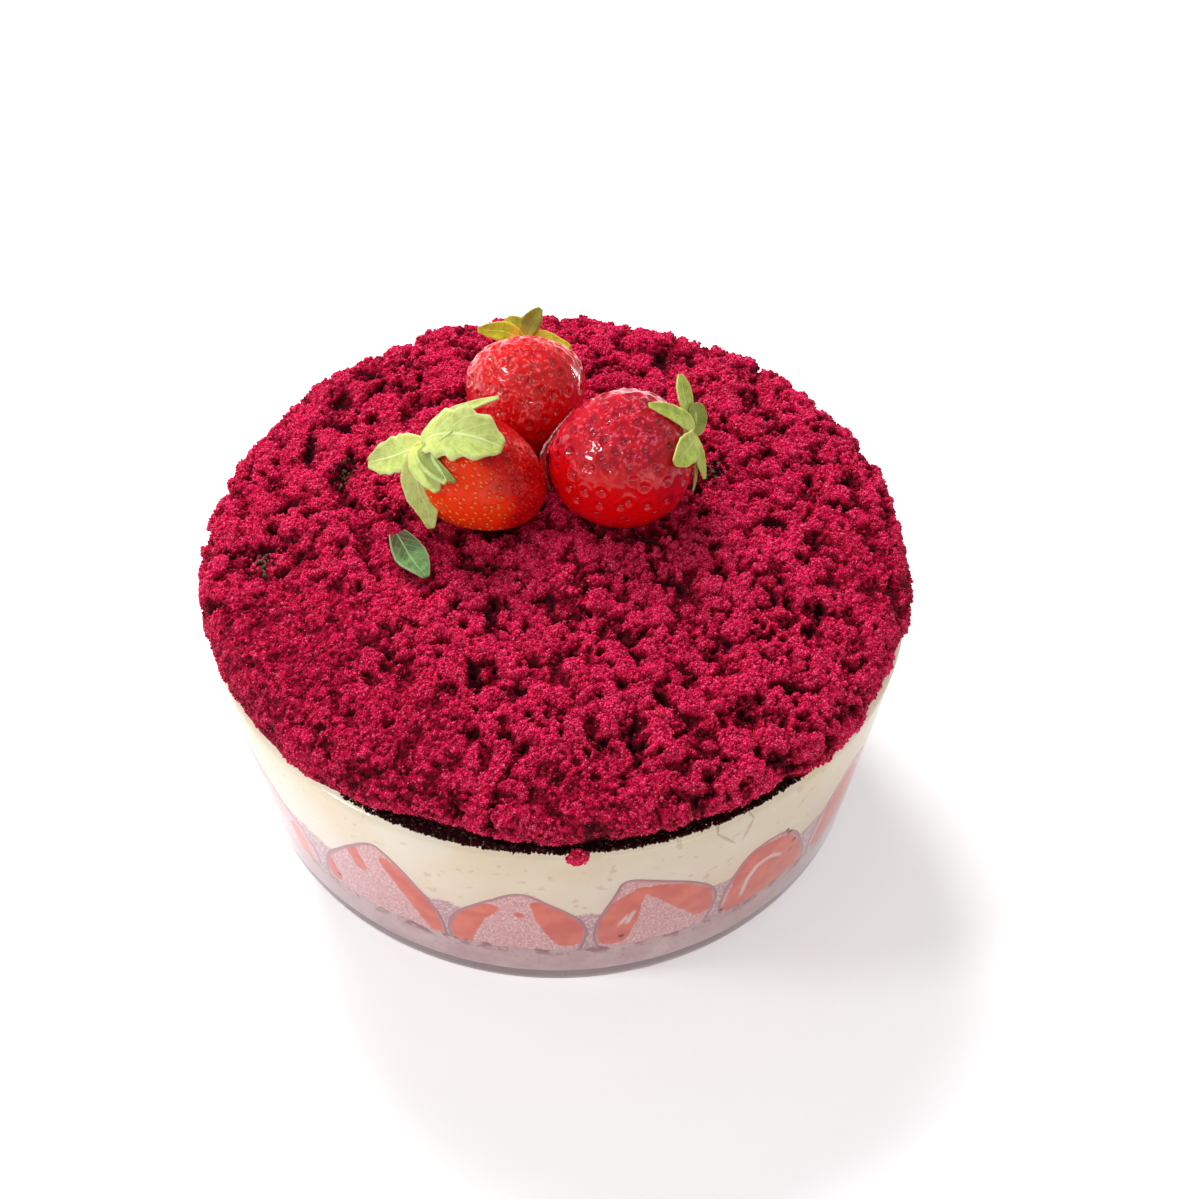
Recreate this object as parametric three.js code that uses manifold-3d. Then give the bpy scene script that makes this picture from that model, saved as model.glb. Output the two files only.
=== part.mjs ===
// Red velvet cake built in a round glass dish.
//
// From the bottom up: a clear glass dish with a rounded heel, a soaked sponge
// base, halved strawberries standing round the wall with their cut faces to the
// glass, cream between and above them, a heaped layer of red velvet crumb that
// covers the rim, and three glazed strawberries with their leaves on top. One
// loose leaf lies on the crumb.
//
// Millimetres, +Z up. The origin is the middle of the dish's foot and the front
// of the cake faces -Y. Angles round the dish run from the front towards +X.

import * as THREE from "three";
import { mergeVertices } from "three/addons/utils/BufferGeometryUtils.js";
import { ImprovedNoise } from "three/addons/math/ImprovedNoise.js";
import Module from "manifold-3d";

const wasm = await Module();
wasm.setup();

// ---- driving dimensions ----------------------------------------------------

const GAP = 0.3; // clearance that touching solids keep
const CUT_GAP = 0.46; // growth of a piece that cuts its neighbour, facets included
const SEGMENTS = 60; // facets round the dish and its layers
const SAME_POINT = 1e-4; // points closer than this are joined into one

const RIM_RADIUS = 80; // outside of the lip
const DISH_HEIGHT = 62;
const WALL = 3.4; // thickness of the glass wall
const FLOOR = 6; // thickness of the glass floor
const WALL_LEAN = THREE.MathUtils.degToRad(8.5); // how far the wall leans out
const HEEL = 9; // radius between foot and wall, outside
const INNER_HEEL = 6; // the same inside

const SPONGE_TOP = 18.5; // height of the sponge base's top
const CREAM_TOP = DISH_HEIGHT - 0.1; // just under the rim

const CRUMB_BASE = DISH_HEIGHT + GAP;
const CRUMB_RADIUS = 81.2; // mean reach of the crumb over the rim
const CRUMB_SHOULDER = { radius: 73.5, height: 74.2 };
const CRUMB_APEX = 79.5;
const CRUMB_RINGS = 24;
const CRUMB_RELIEF = 1.35; // height of the clumps above the mean surface
const CLUMP_SIZE = 5.2; // width of a clump
const CRUMB_SIZE = 2.3; // width of the smaller crumbs on it

// The small clump that hangs over the rim: its radius, how flat and how tall it
// is as shares of that, its angle round the dish in degrees and its place
// outside and above the rim.
const HANGING_CLUMP = { radius: 2.3, flat: 0.8, tall: 1.25, at: 3.4, outside: 2.05, above: 0.2 };

const LEAF_THICKNESS = 0.55;

// Halved strawberries: where the middle stands round the dish, the angle that
// each covers, the tip's height and how far the tip leans off the middle.
const HALVES = [
  { at: -62, span: 30, tip: 50, lean: -0.5 },
  { at: -32.3, span: 25.4, tip: 48.3, lean: 0.05 },
  { at: -7, span: 24.4, tip: 44.2, lean: 0.05 },
  { at: 17.6, span: 22.6, tip: 47.8, lean: -0.35 },
  { at: 39.9, span: 21.4, tip: 43.4, lean: -0.15 },
  { at: 61.6, span: 21.4, tip: 44.2, lean: 0.1 },
];
const HALF_DEPTH = 13.5; // from the cut face to the round back
const WIDEST = 0.3; // how far up a half is widest, as a share of its height

// More of the same round the back: how many, their mean tip height, and how much
// the tips' heights and leans differ.
const HIDDEN_HALVES = { count: 9, tip: 45.2, uneven: 2.5, lean: 0.25 };

// Whole strawberries: centre, direction of the leafy end, length, radius and how
// much they taper. Each sepal has the place of its tip, its width, a blunt value
// above 1 where it is broadest towards its end, how far it is twisted about its
// own length, in degrees, from facing off the fruit and to the front and top, and
// how far it bows off the straight way to its tip, as a share of that.
const BERRIES = {
  left: {
    centre: [-15.9, 6, 88.6],
    towards: [-0.87, 0.2, 0.43],
    length: 28.5,
    radius: 12.8,
    taper: 0.2,
    sepals: [
      { tip: [-42.2, 12.8, 88], width: 8, blunt: 1.25, bow: 0 },
      { tip: [-32.5, 4, 86], width: 5.6, bow: 0.2 },
      { tip: [-27.6, -5, 83.5], width: 7, blunt: 1.2, twist: -34, bow: 0.15 },
      { tip: [-24.9, 2.8, 91], width: 2.6 },
      { tip: [-22.6, 2.6, 89], width: 3 },
      { tip: [-11.7, 1.9, 101.5], width: 10.6, blunt: 1.8, bow: 0.2 },
      { tip: [-12.7, 14.8, 104], width: 4, bow: 0.35 },
    ],
  },
  back: {
    centre: [-7, 30.9, 89],
    towards: [-0.05, 0.93, 0.37],
    length: 26.6,
    radius: 13.8,
    taper: 0.27,
    sepals: [
      { tip: [-18.1, 45, 97], width: 4.8, twist: 30 },
      { tip: [-11.5, 49, 97.2], width: 6, blunt: 1.2 },
      { tip: [-3.6, 49, 100.2], width: 4.6, blunt: 1.2 },
      { tip: [3.1, 41, 95.1], width: 4.4, twist: -30 },
      { tip: [-2.2, 51, 88], width: 4.4 },
      { tip: [-14.2, 49, 86.6], width: 4.4 },
    ],
  },
  right: {
    centre: [14.2, 9.5, 90.5],
    towards: [0.94, 0.17, 0.3],
    length: 31.8,
    radius: 15.4,
    taper: 0.1,
    sepals: [
      { tip: [27.7, 21, 105.5], width: 5.2, blunt: 1.5 },
      { tip: [20, 9.6, 107.1], width: 4.6, blunt: 1.1 },
      { tip: [32.5, 19, 98.2], width: 6.4, blunt: 1.5 },
      { tip: [25.7, 1, 97.8], width: 6, blunt: 1.8 },
      { tip: [32.6, 5.2, 88.6], width: 3.2, blunt: 1.4 },
      { tip: [29.1, 4, 86.7], width: 1.4 },
      { tip: [29.4, 25.4, 90.5], width: 4.4 },
    ],
  },
};

const LOOSE_LEAF = { from: [-36.5, -2.7], to: [-28.8, -17.4], width: 7.4 };

// ---- solids and geometries -------------------------------------------------

// A closed geometry as a solid that can be cut and joined.
function solidOf(geometry) {
  const bare = new THREE.BufferGeometry();
  bare.setAttribute("position", geometry.getAttribute("position").clone());
  if (geometry.index) bare.setIndex(geometry.index.clone());
  const merged = mergeVertices(bare, SAME_POINT);
  return new wasm.Manifold(
    new wasm.Mesh({
      numProp: 3,
      vertProperties: new Float32Array(merged.attributes.position.array),
      triVerts: new Uint32Array(merged.index.array),
    }),
  );
}

// A solid as a geometry with flat facets.
function geometryOf(solid) {
  const { vertProperties, triVerts } = solid.getMesh();
  const geometry = new THREE.BufferGeometry();
  geometry.setAttribute("position", new THREE.BufferAttribute(vertProperties, 3));
  geometry.setIndex(new THREE.BufferAttribute(triVerts, 1));
  geometry.computeVertexNormals();
  return geometry;
}

// The largest of a solid's separate bodies, without the scraps that a cut left.
function largestBody(solid) {
  const bodies = solid.decompose();
  return bodies.reduce((a, b) => (b.volume() > a.volume() ? b : a));
}

function geometryFrom(points, faces) {
  const geometry = new THREE.BufferGeometry();
  geometry.setFromPoints(points);
  geometry.setIndex(faces.flat());
  geometry.computeVertexNormals();
  return geometry;
}

// A profile of [radius, height] pairs turned about the dish's axis.
function turned(profile) {
  const points = profile.map(([radius, height]) => new THREE.Vector2(radius, height));
  return new THREE.LatheGeometry(points, SEGMENTS).rotateX(Math.PI / 2);
}

// The point at an angle round the dish, a radius and a height.
function around(angle, radius, height) {
  return new THREE.Vector3(radius * Math.sin(angle), -radius * Math.cos(angle), height);
}

// ---- the dish and the layers in it -----------------------------------------

const outerWall = (height) => RIM_RADIUS - (DISH_HEIGHT - height) * Math.tan(WALL_LEAN);
const innerWall = (height) => outerWall(height) - WALL / Math.cos(WALL_LEAN);
const contentsWall = (height) => innerWall(height) - GAP / Math.cos(WALL_LEAN);
// The same for a piece whose corners don't line up with the dish's facets.
const fruitWall = (height) => contentsWall(height) * Math.cos(Math.PI / SEGMENTS);

// The quarter round between a level and a leaning wall, from the level up.
function heelArc(wallAt, level, radius, inset, steps) {
  const height = level + radius;
  const middle = wallAt(height) - radius / Math.cos(WALL_LEAN);
  return Array.from({ length: steps + 1 }, (_, i) => {
    const turn = THREE.MathUtils.lerp(-Math.PI / 2, -WALL_LEAN, i / steps);
    const reach = radius - inset;
    return [middle + reach * Math.cos(turn), height + reach * Math.sin(turn)];
  });
}

function dishGeometry() {
  const lip = WALL / 2;
  const lipRadius = outerWall(DISH_HEIGHT - lip) - lip;
  const lipArc = [0, 45, 90, 135, 180].map((degrees) => {
    const turn = THREE.MathUtils.degToRad(degrees);
    return [lipRadius + lip * Math.cos(turn), DISH_HEIGHT - lip + lip * Math.sin(turn)];
  });
  return turned([
    [0, 0],
    ...heelArc(outerWall, 0, HEEL, 0, 4),
    ...lipArc,
    ...heelArc(innerWall, FLOOR, INNER_HEEL, 0, 3).reverse(),
    [0, FLOOR],
  ]);
}

function spongeBaseGeometry() {
  return turned([
    [0, FLOOR + GAP],
    ...heelArc(innerWall, FLOOR, INNER_HEEL, GAP, 3),
    [contentsWall(SPONGE_TOP), SPONGE_TOP],
    [0, SPONGE_TOP],
  ]);
}

// How wide a half is at a share of its height, as a share of its greatest width:
// drawn in a little at the cut end and rounded at the tip.
function halfShape(rise) {
  const reach = 1.06; // how far from the widest place it has narrowed to nothing
  const squareness = 1.9;
  const narrowing = 1.95;
  const least = 0.02; // keeps the tip's facets from closing up
  const narrowed = narrowing * (reach * Math.abs(rise - WIDEST)) ** squareness;
  return Math.min(1, Math.sqrt(Math.max(0, 1 - narrowed)) + least);
}

// One halved strawberry against the wall, tip up, grown on all sides by margin
// and pushed out into the wall by overrun.
function halfBerryGeometry({ at, span, tip, lean }, margin = 0, overrun = 0) {
  const stations = 6; // levels between the cut end and the tip
  const across = 3; // steps over the cut face
  const inward = 4; // steps round the fruit's skin
  const bend = 1.5; // how late it starts to lean
  const fullLean = (1 - WIDEST) ** bend;
  const base = SPONGE_TOP + GAP - margin;
  const middle = THREE.MathUtils.degToRad(at);
  const halfSpan = THREE.MathUtils.degToRad(span / 2) - CUT_GAP / 2 / contentsWall(base);
  const points = [];
  for (let i = 0; i <= stations; i++) {
    const rise = i / stations;
    const height = THREE.MathUtils.lerp(base, tip + margin, rise);
    const wall = fruitWall(height) + overrun;
    const reach = halfSpan * halfShape(rise) + margin / wall;
    const depth = HALF_DEPTH * halfShape(rise) + margin;
    const drift = (lean * halfSpan * Math.max(0, rise - WIDEST) ** bend) / fullLean;
    const flare = overrun / 2 / wall; // a cut that runs into the wall keeps its slant
    for (let j = 0; j <= across; j++) {
      const angle = middle + drift + (reach + flare) * (1 - (2 * j) / across);
      points.push(around(angle, wall, height));
    }
    for (let j = 1; j < inward; j++) {
      const turn = (Math.PI * j) / inward;
      const angle = middle + drift - reach * Math.cos(turn);
      points.push(around(angle, wall - overrun - depth * Math.sin(turn), height));
    }
  }
  const ring = across + inward;
  const faces = [];
  for (let i = 0; i < stations; i++) {
    for (let j = 0; j < ring; j++) {
      const a = i * ring + j;
      const b = i * ring + ((j + 1) % ring);
      faces.push([a, a + ring, b], [b, a + ring, b + ring]);
    }
  }
  const top = stations * ring;
  for (let j = 1; j < ring - 1; j++) {
    faces.push([0, j, j + 1], [top, top + j + 1, top + j]);
  }
  return geometryFrom(points, faces);
}

// The seen halves, and the unseen ones that carry on round the back.
function allHalves() {
  const start = HALVES.at(-1).at + HALVES.at(-1).span / 2;
  const end = 360 + HALVES[0].at - HALVES[0].span / 2;
  const { count, tip, uneven, lean } = HIDDEN_HALVES;
  const span = (end - start) / count;
  const [tipStep, leanStep] = [2.4, 1.9]; // radians from one to the next, so that no two are alike
  const hidden = Array.from({ length: count }, (_, i) => ({
    at: start + span * (i + 0.5),
    span,
    tip: tip + uneven * Math.sin(tipStep * i),
    lean: lean * Math.cos(leanStep * i),
  }));
  return [...HALVES, ...hidden];
}

function creamGeometry(halves) {
  const bottom = SPONGE_TOP + GAP;
  const whole = solidOf(
    turned([
      [0, bottom],
      [contentsWall(bottom), bottom],
      [contentsWall(CREAM_TOP), CREAM_TOP],
      [0, CREAM_TOP],
    ]),
  );
  const overrun = 1; // takes the pockets right through the cream's face
  const pockets = halves.map((half) => solidOf(halfBerryGeometry(half, CUT_GAP, overrun)));
  const cut = pockets.reduce((cream, pocket) => cream.subtract(pocket), whole);
  return geometryOf(largestBody(cut));
}

// ---- the crumb -------------------------------------------------------------

const noise = new ImprovedNoise();

// Relief of the crumb at a point: clumps with smaller ones on them, pressed
// smoother where the leaf lies and towards the left of the front edge.
function crumbRelief(point) {
  const [clumpShift, crumbShift] = [7.3, 40]; // where each reads the noise
  const clumpSpot = point.clone().divideScalar(CLUMP_SIZE);
  const crumbSpot = point.clone().divideScalar(CRUMB_SIZE);
  const clumps = noise.noise(clumpSpot.x, clumpSpot.y, clumpSpot.z + clumpShift);
  const crumbs = noise.noise(crumbSpot.x + crumbShift, crumbSpot.y, crumbSpot.z);
  const leafX = (LOOSE_LEAF.from[0] + LOOSE_LEAF.to[0]) / 2;
  const leafY = (LOOSE_LEAF.from[1] + LOOSE_LEAF.to[1]) / 2;
  const leafReach = 13;
  const underLeaf = 0.15; // share of the relief that is left there
  const fromLeaf = Math.hypot(point.x - leafX, point.y - leafY) / leafReach;
  const pressed = Math.min(1, underLeaf + fromLeaf ** 2);
  const [clumpShare, crumbShare] = [1.7, 0.9];
  return CRUMB_RELIEF * pressed * (clumpShare * clumps + crumbShare * crumbs);
}

// The mean outline of the crumb from its middle to its lower edge.
function crumbOutline() {
  const { radius, height } = CRUMB_SHOULDER;
  const crownReach = 28; // how far out the top stays nearly level
  const slope = { radius: 56, above: 3 }; // leads the dome down to its shoulder
  const brow = { out: 5, down: 1.5 }; // leads it on over the shoulder
  const side = { down: 4, up: 3 }; // leads it down the upright side
  const undercut = 0.8; // how far the lower edge draws in
  const outline = new THREE.Path();
  outline.moveTo(0, CRUMB_APEX);
  outline.bezierCurveTo(crownReach, CRUMB_APEX, slope.radius, height + slope.above, radius, height);
  outline.bezierCurveTo(
    radius + brow.out,
    height - brow.down,
    CRUMB_RADIUS,
    height - side.down,
    CRUMB_RADIUS,
    CRUMB_BASE + side.up,
  );
  outline.lineTo(CRUMB_RADIUS - undercut, CRUMB_BASE);
  return outline.getSpacedPoints(CRUMB_RINGS);
}

// A dome whose nth ring has 6n points, so that its facets stay alike in size.
function crumbDome() {
  const sides = 6;
  const calmEdge = 0.6; // share of the relief that the lower edge has
  const outline = crumbOutline();
  const points = [new THREE.Vector3(0, 0, CRUMB_APEX)];
  const faces = [];
  const first = (ring) => (ring === 0 ? 0 : 1 + (sides / 2) * ring * (ring - 1));
  for (let ring = 1; ring <= CRUMB_RINGS; ring++) {
    const before = outline[ring - 1];
    const after = outline[Math.min(ring + 1, CRUMB_RINGS)];
    const slope = Math.atan2(after.y - before.y, after.x - before.x);
    const count = sides * ring;
    for (let i = 0; i < count; i++) {
      const angle = (2 * Math.PI * i) / count;
      const mean = around(angle, outline[ring].x, outline[ring].y);
      const relief = crumbRelief(mean) * (ring > CRUMB_RINGS - 2 ? calmEdge : 1);
      const out = outline[ring].x - relief * Math.sin(slope);
      const up = ring === CRUMB_RINGS ? CRUMB_BASE : outline[ring].y + relief * Math.cos(slope);
      points.push(around(angle, out, Math.max(up, CRUMB_BASE)));
    }
    for (let side = 0; side < sides; side++) {
      const outer = (i) => first(ring) + ((side * ring + i) % count);
      const inner = (i) => (ring === 1 ? 0 : first(ring - 1) + ((side * (ring - 1) + i) % (count - sides)));
      for (let i = 0; i < ring; i++) {
        faces.push([inner(i), outer(i), outer(i + 1)]);
        if (i < ring - 1) faces.push([inner(i), outer(i + 1), inner(i + 1)]);
      }
    }
  }
  const underside = points.length;
  points.push(new THREE.Vector3(0, 0, CRUMB_BASE));
  const last = sides * CRUMB_RINGS;
  for (let i = 0; i < last; i++) {
    faces.push([underside, first(CRUMB_RINGS) + ((i + 1) % last), first(CRUMB_RINGS) + i]);
  }
  return solidOf(geometryFrom(points, faces));
}

// The small clump that hangs over the rim at the front.
function hangingClump() {
  const { radius, flat, tall, at, outside, above } = HANGING_CLUMP;
  const clump = new THREE.IcosahedronGeometry(radius, 1);
  clump.scale(1, flat, tall);
  const place = around(THREE.MathUtils.degToRad(at), RIM_RADIUS + outside, DISH_HEIGHT + above);
  return solidOf(clump.translate(place.x, place.y, place.z));
}

// ---- strawberries on top ---------------------------------------------------

// The skin of a strawberry at a turn from its tip (0) to its leafy end (PI), as
// [girth, height] from its middle.
function berrySkin({ length, radius, taper }, turn) {
  const fullness = 0.92; // below 1 the ends are fuller than a ball's
  const slimming = 1 - 0.15 * taper; // keeps a tapering one's largest radius
  const girth = radius * Math.sin(turn) ** fullness * (1 - taper * Math.cos(turn)) * slimming;
  return [girth, (-length / 2) * Math.cos(turn)];
}

// How far the skin is from the middle of the strawberry towards a point.
function reachTowards(berry, point) {
  const wanted = Math.atan2(Math.hypot(point.x, point.y), -point.z);
  const halvings = 20;
  let [low, high] = [0, Math.PI];
  for (let i = 0; i < halvings; i++) {
    const turn = (low + high) / 2;
    const [girth, height] = berrySkin(berry, turn);
    if (Math.atan2(girth, -height) < wanted) low = turn;
    else high = turn;
  }
  return Math.hypot(...berrySkin(berry, low));
}

// A strawberry of revolution with its leafy end towards +Z, grown by margin.
function berryGeometry(berry, margin = 0) {
  const { length } = berry;
  const rings = 12;
  const columns = 20; // facets round it
  const pit = 0.45; // depth of the pits that hold the seeds
  const points = [new THREE.Vector3(0, 0, -length / 2 - margin)];
  for (let i = 1; i < rings; i++) {
    const turn = (Math.PI * i) / rings;
    const [girth, height] = berrySkin(berry, turn);
    for (let j = 0; j < columns; j++) {
      const angle = (2 * Math.PI * (j + (i % 2) / 2)) / columns;
      const pitted = margin === 0 && (i + j) % 2 === 0 && i > 1 && i < rings - 2;
      const reach = girth + margin - (pitted ? pit : 0);
      const lift = height - margin * Math.cos(turn);
      points.push(new THREE.Vector3(reach * Math.cos(angle), reach * Math.sin(angle), lift));
    }
  }
  const crown = points.length;
  const dent = 0.07 * length; // the hollow under the leaves
  points.push(new THREE.Vector3(0, 0, length / 2 - dent + margin));
  const faces = [];
  const ringStart = (i) => 1 + (i - 1) * columns;
  for (let j = 0; j < columns; j++) {
    const next = (j + 1) % columns;
    faces.push([0, ringStart(1) + next, ringStart(1) + j]);
    faces.push([crown, ringStart(rings - 1) + j, ringStart(rings - 1) + next]);
  }
  for (let i = 1; i < rings - 1; i++) {
    const odd = i % 2;
    for (let j = 0; j < columns; j++) {
      const next = (j + 1) % columns;
      const [a, b] = [ringStart(i) + j, ringStart(i) + next];
      const [c, d] = [ringStart(i + 1) + j, ringStart(i + 1) + next];
      if (odd) faces.push([a, b, d], [a, d, c]);
      else faces.push([a, b, c], [b, d, c]);
    }
  }
  return geometryFrom(points, faces);
}

// A thin wavy leaf along a path of stations, each with its place, its normal
// and its half-width. The blade folds up a little on both sides of its midrib.
function bladeGeometry(stations) {
  const foldShare = 0.16; // how far the edges stand up, as a share of the half-width
  const points = [];
  for (const side of [1, -1]) {
    for (const { place, normal, across, half } of stations) {
      for (const edge of [-1, 0, 1]) {
        const fold = foldShare * half * Math.abs(edge);
        points.push(
          place
            .clone()
            .addScaledVector(across, half * edge)
            .addScaledVector(normal, fold + (side * LEAF_THICKNESS) / 2),
        );
      }
    }
  }
  const count = stations.length;
  const lower = 3 * count;
  const faces = [];
  const quad = (a, b, c, d) => faces.push([a, b, c], [a, c, d]);
  for (let i = 0; i < count - 1; i++) {
    for (let j = 0; j < 2; j++) {
      const a = 3 * i + j;
      quad(a, a + 3, a + 4, a + 1);
      faces.push([lower + a, lower + a + 1, lower + a + 4], [lower + a, lower + a + 4, lower + a + 3]);
    }
    const [left, right] = [3 * i, 3 * i + 2];
    quad(lower + left, lower + left + 3, left + 3, left);
    quad(right, right + 3, lower + right + 3, lower + right);
  }
  const end = 3 * (count - 1);
  for (let j = 0; j < 2; j++) {
    quad(j, j + 1, lower + j + 1, lower + j);
    quad(end + j, lower + end + j, lower + end + j + 1, end + j + 1);
  }
  return geometryFrom(points, faces);
}

// How wide a leaf is along its length, as a share of its half-width: it starts
// with some width, is broadest about the middle and ends narrow.
function leafShape(t, blunt = 1) {
  const least = 0.12;
  const [start, run] = [0.12, 0.86]; // the stretch of a half wave that it follows
  const fullness = 0.8;
  return least + (1 - least) * Math.sin(Math.PI * (start + run * t ** blunt)) ** fullness;
}

// One sepal in the frame of its berry: it leaves the crown, bows off the fruit
// and comes down to its tip, clear of the skin.
function sepalGeometry(berry, { tip, width, blunt, twist = 0, bow = 0.3 }) {
  const steps = 4;
  const clear = 1; // least distance from the skin
  const wave = 0.35; // height of the ripple along the blade
  const waves = 1.1; // how many ripples it has
  const highest = 0.45; // how far along it bows most
  const toFront = 0.6; // how much it turns its face to the front and top
  const crown = new THREE.Vector3(0, 0, berry.length / 2 + 0.4);
  const toBerry = berryFrame(berry).invert();
  const face = new THREE.Vector3(0, -1, 1).transformDirection(toBerry);
  const end = new THREE.Vector3(...tip).applyMatrix4(toBerry);
  const middle = crown.clone().lerp(end, highest);
  middle.z += bow * crown.distanceTo(end);
  const route = new THREE.QuadraticBezierCurve3(crown, middle, end);
  const places = route.getPoints(steps).map((place, i) => {
    const ripple = wave * Math.sin((2 * Math.PI * waves * i) / steps);
    const reach = Math.max(place.length(), reachTowards(berry, place) + clear);
    return place.setLength(reach + ripple);
  });
  const stations = places.map((place, i) => {
    const along = places[Math.min(i + 1, steps)].clone().sub(places[Math.max(i - 1, 0)]).normalize();
    const outwards = place.clone().normalize().addScaledVector(face, toFront);
    const across = new THREE.Vector3().crossVectors(outwards, along).normalize();
    across.applyAxisAngle(along, THREE.MathUtils.degToRad(twist));
    const normal = new THREE.Vector3().crossVectors(along, across);
    return { place, normal, across, half: (width / 2) * leafShape(i / steps, blunt) };
  });
  return bladeGeometry(stations);
}

// The crown of leaves: sepals round a small flat hub, cut clear of the fruit.
function calyxSolid(berry) {
  const hubRadius = 2.6;
  const hubFlatness = 0.42;
  const hubLift = 0.6; // above the end of the fruit
  const hub = new THREE.SphereGeometry(hubRadius, 6, 4);
  hub.scale(1, 1, hubFlatness);
  hub.translate(0, 0, berry.length / 2 + hubLift);
  const sepals = berry.sepals.map((sepal) => solidOf(sepalGeometry(berry, sepal)));
  const joined = sepals.reduce((calyx, sepal) => calyx.add(sepal), solidOf(hub));
  return largestBody(joined.subtract(solidOf(berryGeometry(berry, CUT_GAP))));
}

// The frame of a berry: +Z to its leafy end and +X as near upright as it goes.
function berryFrame({ centre, towards }) {
  const axis = new THREE.Vector3(...towards).normalize();
  const top = new THREE.Vector3(0, 0, 1).addScaledVector(axis, -axis.z).normalize();
  const side = new THREE.Vector3().crossVectors(axis, top);
  return new THREE.Matrix4().makeBasis(top, side, axis).setPosition(...centre);
}

// ---- the loose leaf --------------------------------------------------------

function looseLeafGeometry() {
  const from = new THREE.Vector2(...LOOSE_LEAF.from);
  const to = new THREE.Vector2(...LOOSE_LEAF.to);
  const along = to.clone().sub(from).normalize();
  const across = new THREE.Vector3(along.y, -along.x, 0);
  const steps = 6;
  const lift = 0.2; // above the top of the crumb
  const sag = 0.5; // how far the middle hangs below that and the ends rise
  const tilt = 0.3; // how much of its slope the blade follows
  const stations = [];
  for (let i = 0; i <= steps; i++) {
    const t = i / steps;
    const spot = from.clone().lerp(to, t);
    const height = CRUMB_APEX + lift + sag * Math.cos(2 * Math.PI * t);
    const slope = -sag * tilt * Math.sin(2 * Math.PI * t);
    const run = new THREE.Vector3(along.x, along.y, slope).normalize();
    const normal = new THREE.Vector3().crossVectors(across, run).normalize();
    if (normal.z < 0) normal.negate();
    stations.push({
      place: new THREE.Vector3(spot.x, spot.y, height),
      normal,
      across: new THREE.Vector3().crossVectors(normal, run),
      half: (LOOSE_LEAF.width / 2) * leafShape(t),
    });
  }
  return bladeGeometry(stations);
}

// ---- materials -------------------------------------------------------------

const finish = (color, roughness, extra = {}) =>
  new THREE.MeshStandardMaterial({ color, roughness, metalness: 0, ...extra });

const glass = finish(0xdfe8ea, 0.05, { transparent: true, opacity: 0.35 });
const soakedSponge = finish(0xa8787f, 0.7);
const cream = finish(0xecdfc9, 0.5);
const cutFruit = finish(0xe4776a, 0.35);
const velvetCrumb = finish(0x9c1238, 0.95);
const glazedFruit = finish(0xc01016, 0.15);
const sepalGreen = finish(0xb9cc78, 0.6);
const leafGreen = finish(0x74966a, 0.6);

// ---- assembly --------------------------------------------------------------

function piece(name, geometry, material) {
  const mesh = new THREE.Mesh(geometry, material);
  mesh.name = name;
  return mesh;
}

function inDish() {
  const group = new THREE.Group();
  const halves = allHalves();
  group.add(piece("glass_dish", dishGeometry(), glass));
  group.add(piece("sponge_base", spongeBaseGeometry(), soakedSponge));
  group.add(piece("cream", creamGeometry(halves), cream));
  halves.forEach((half, i) => {
    const name = `berry_half_${String(i + 1).padStart(2, "0")}`;
    group.add(piece(name, halfBerryGeometry(half), cutFruit));
  });
  return group;
}

function crumbLayer() {
  const sockets = Object.values(BERRIES).map((berry) =>
    solidOf(berryGeometry(berry, CUT_GAP).applyMatrix4(berryFrame(berry))),
  );
  const heap = crumbDome().add(hangingClump());
  return largestBody(sockets.reduce((crumb, socket) => crumb.subtract(socket), heap));
}

function wholeBerries(crumb) {
  const group = new THREE.Group();
  const aboveCrumb = crumb.add(crumb.translate([0, 0, GAP]));
  for (const [name, berry] of Object.entries(BERRIES)) {
    const frame = berryFrame(berry);
    const holder = new THREE.Group();
    holder.applyMatrix4(frame);
    const others = Object.values(BERRIES).filter((other) => other !== berry);
    const inverse = frame.clone().invert();
    const clear = (solid) => solid.transform(inverse.toArray());
    let calyx = calyxSolid(berry).subtract(clear(aboveCrumb));
    for (const other of others) {
      const fruit = berryGeometry(other, CUT_GAP).applyMatrix4(berryFrame(other));
      calyx = calyx.subtract(clear(solidOf(fruit)));
    }
    holder.add(piece(`strawberry_${name}`, berryGeometry(berry), glazedFruit));
    holder.add(piece(`calyx_${name}`, geometryOf(largestBody(calyx)), sepalGreen));
    group.add(holder);
  }
  return group;
}

const cake = new THREE.Group();
cake.name = "red_velvet_cake_in_dish";
const crumb = crumbLayer();
cake.add(inDish());
cake.add(piece("crumb", geometryOf(crumb), velvetCrumb));
cake.add(wholeBerries(crumb));
cake.add(piece("loose_leaf", looseLeafGeometry(), leafGreen));

export default cake;
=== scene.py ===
"""Red velvet cake in a round glass dish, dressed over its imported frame.

Everything is in metres in the frame's own axes: +Z up, the origin in the middle of
the dish's foot, the front of the cake towards -Y. Angles round the dish run from
the front towards +X. Sizes that read best in millimetres are multiplied by MM.
"""

from __future__ import annotations

import itertools
import logging
import math
from dataclasses import dataclass
from enum import Enum
from typing import Callable, Iterable, Sequence

import bmesh
import bpy
import numpy as np
from mathutils import Matrix, Vector, noise

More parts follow.
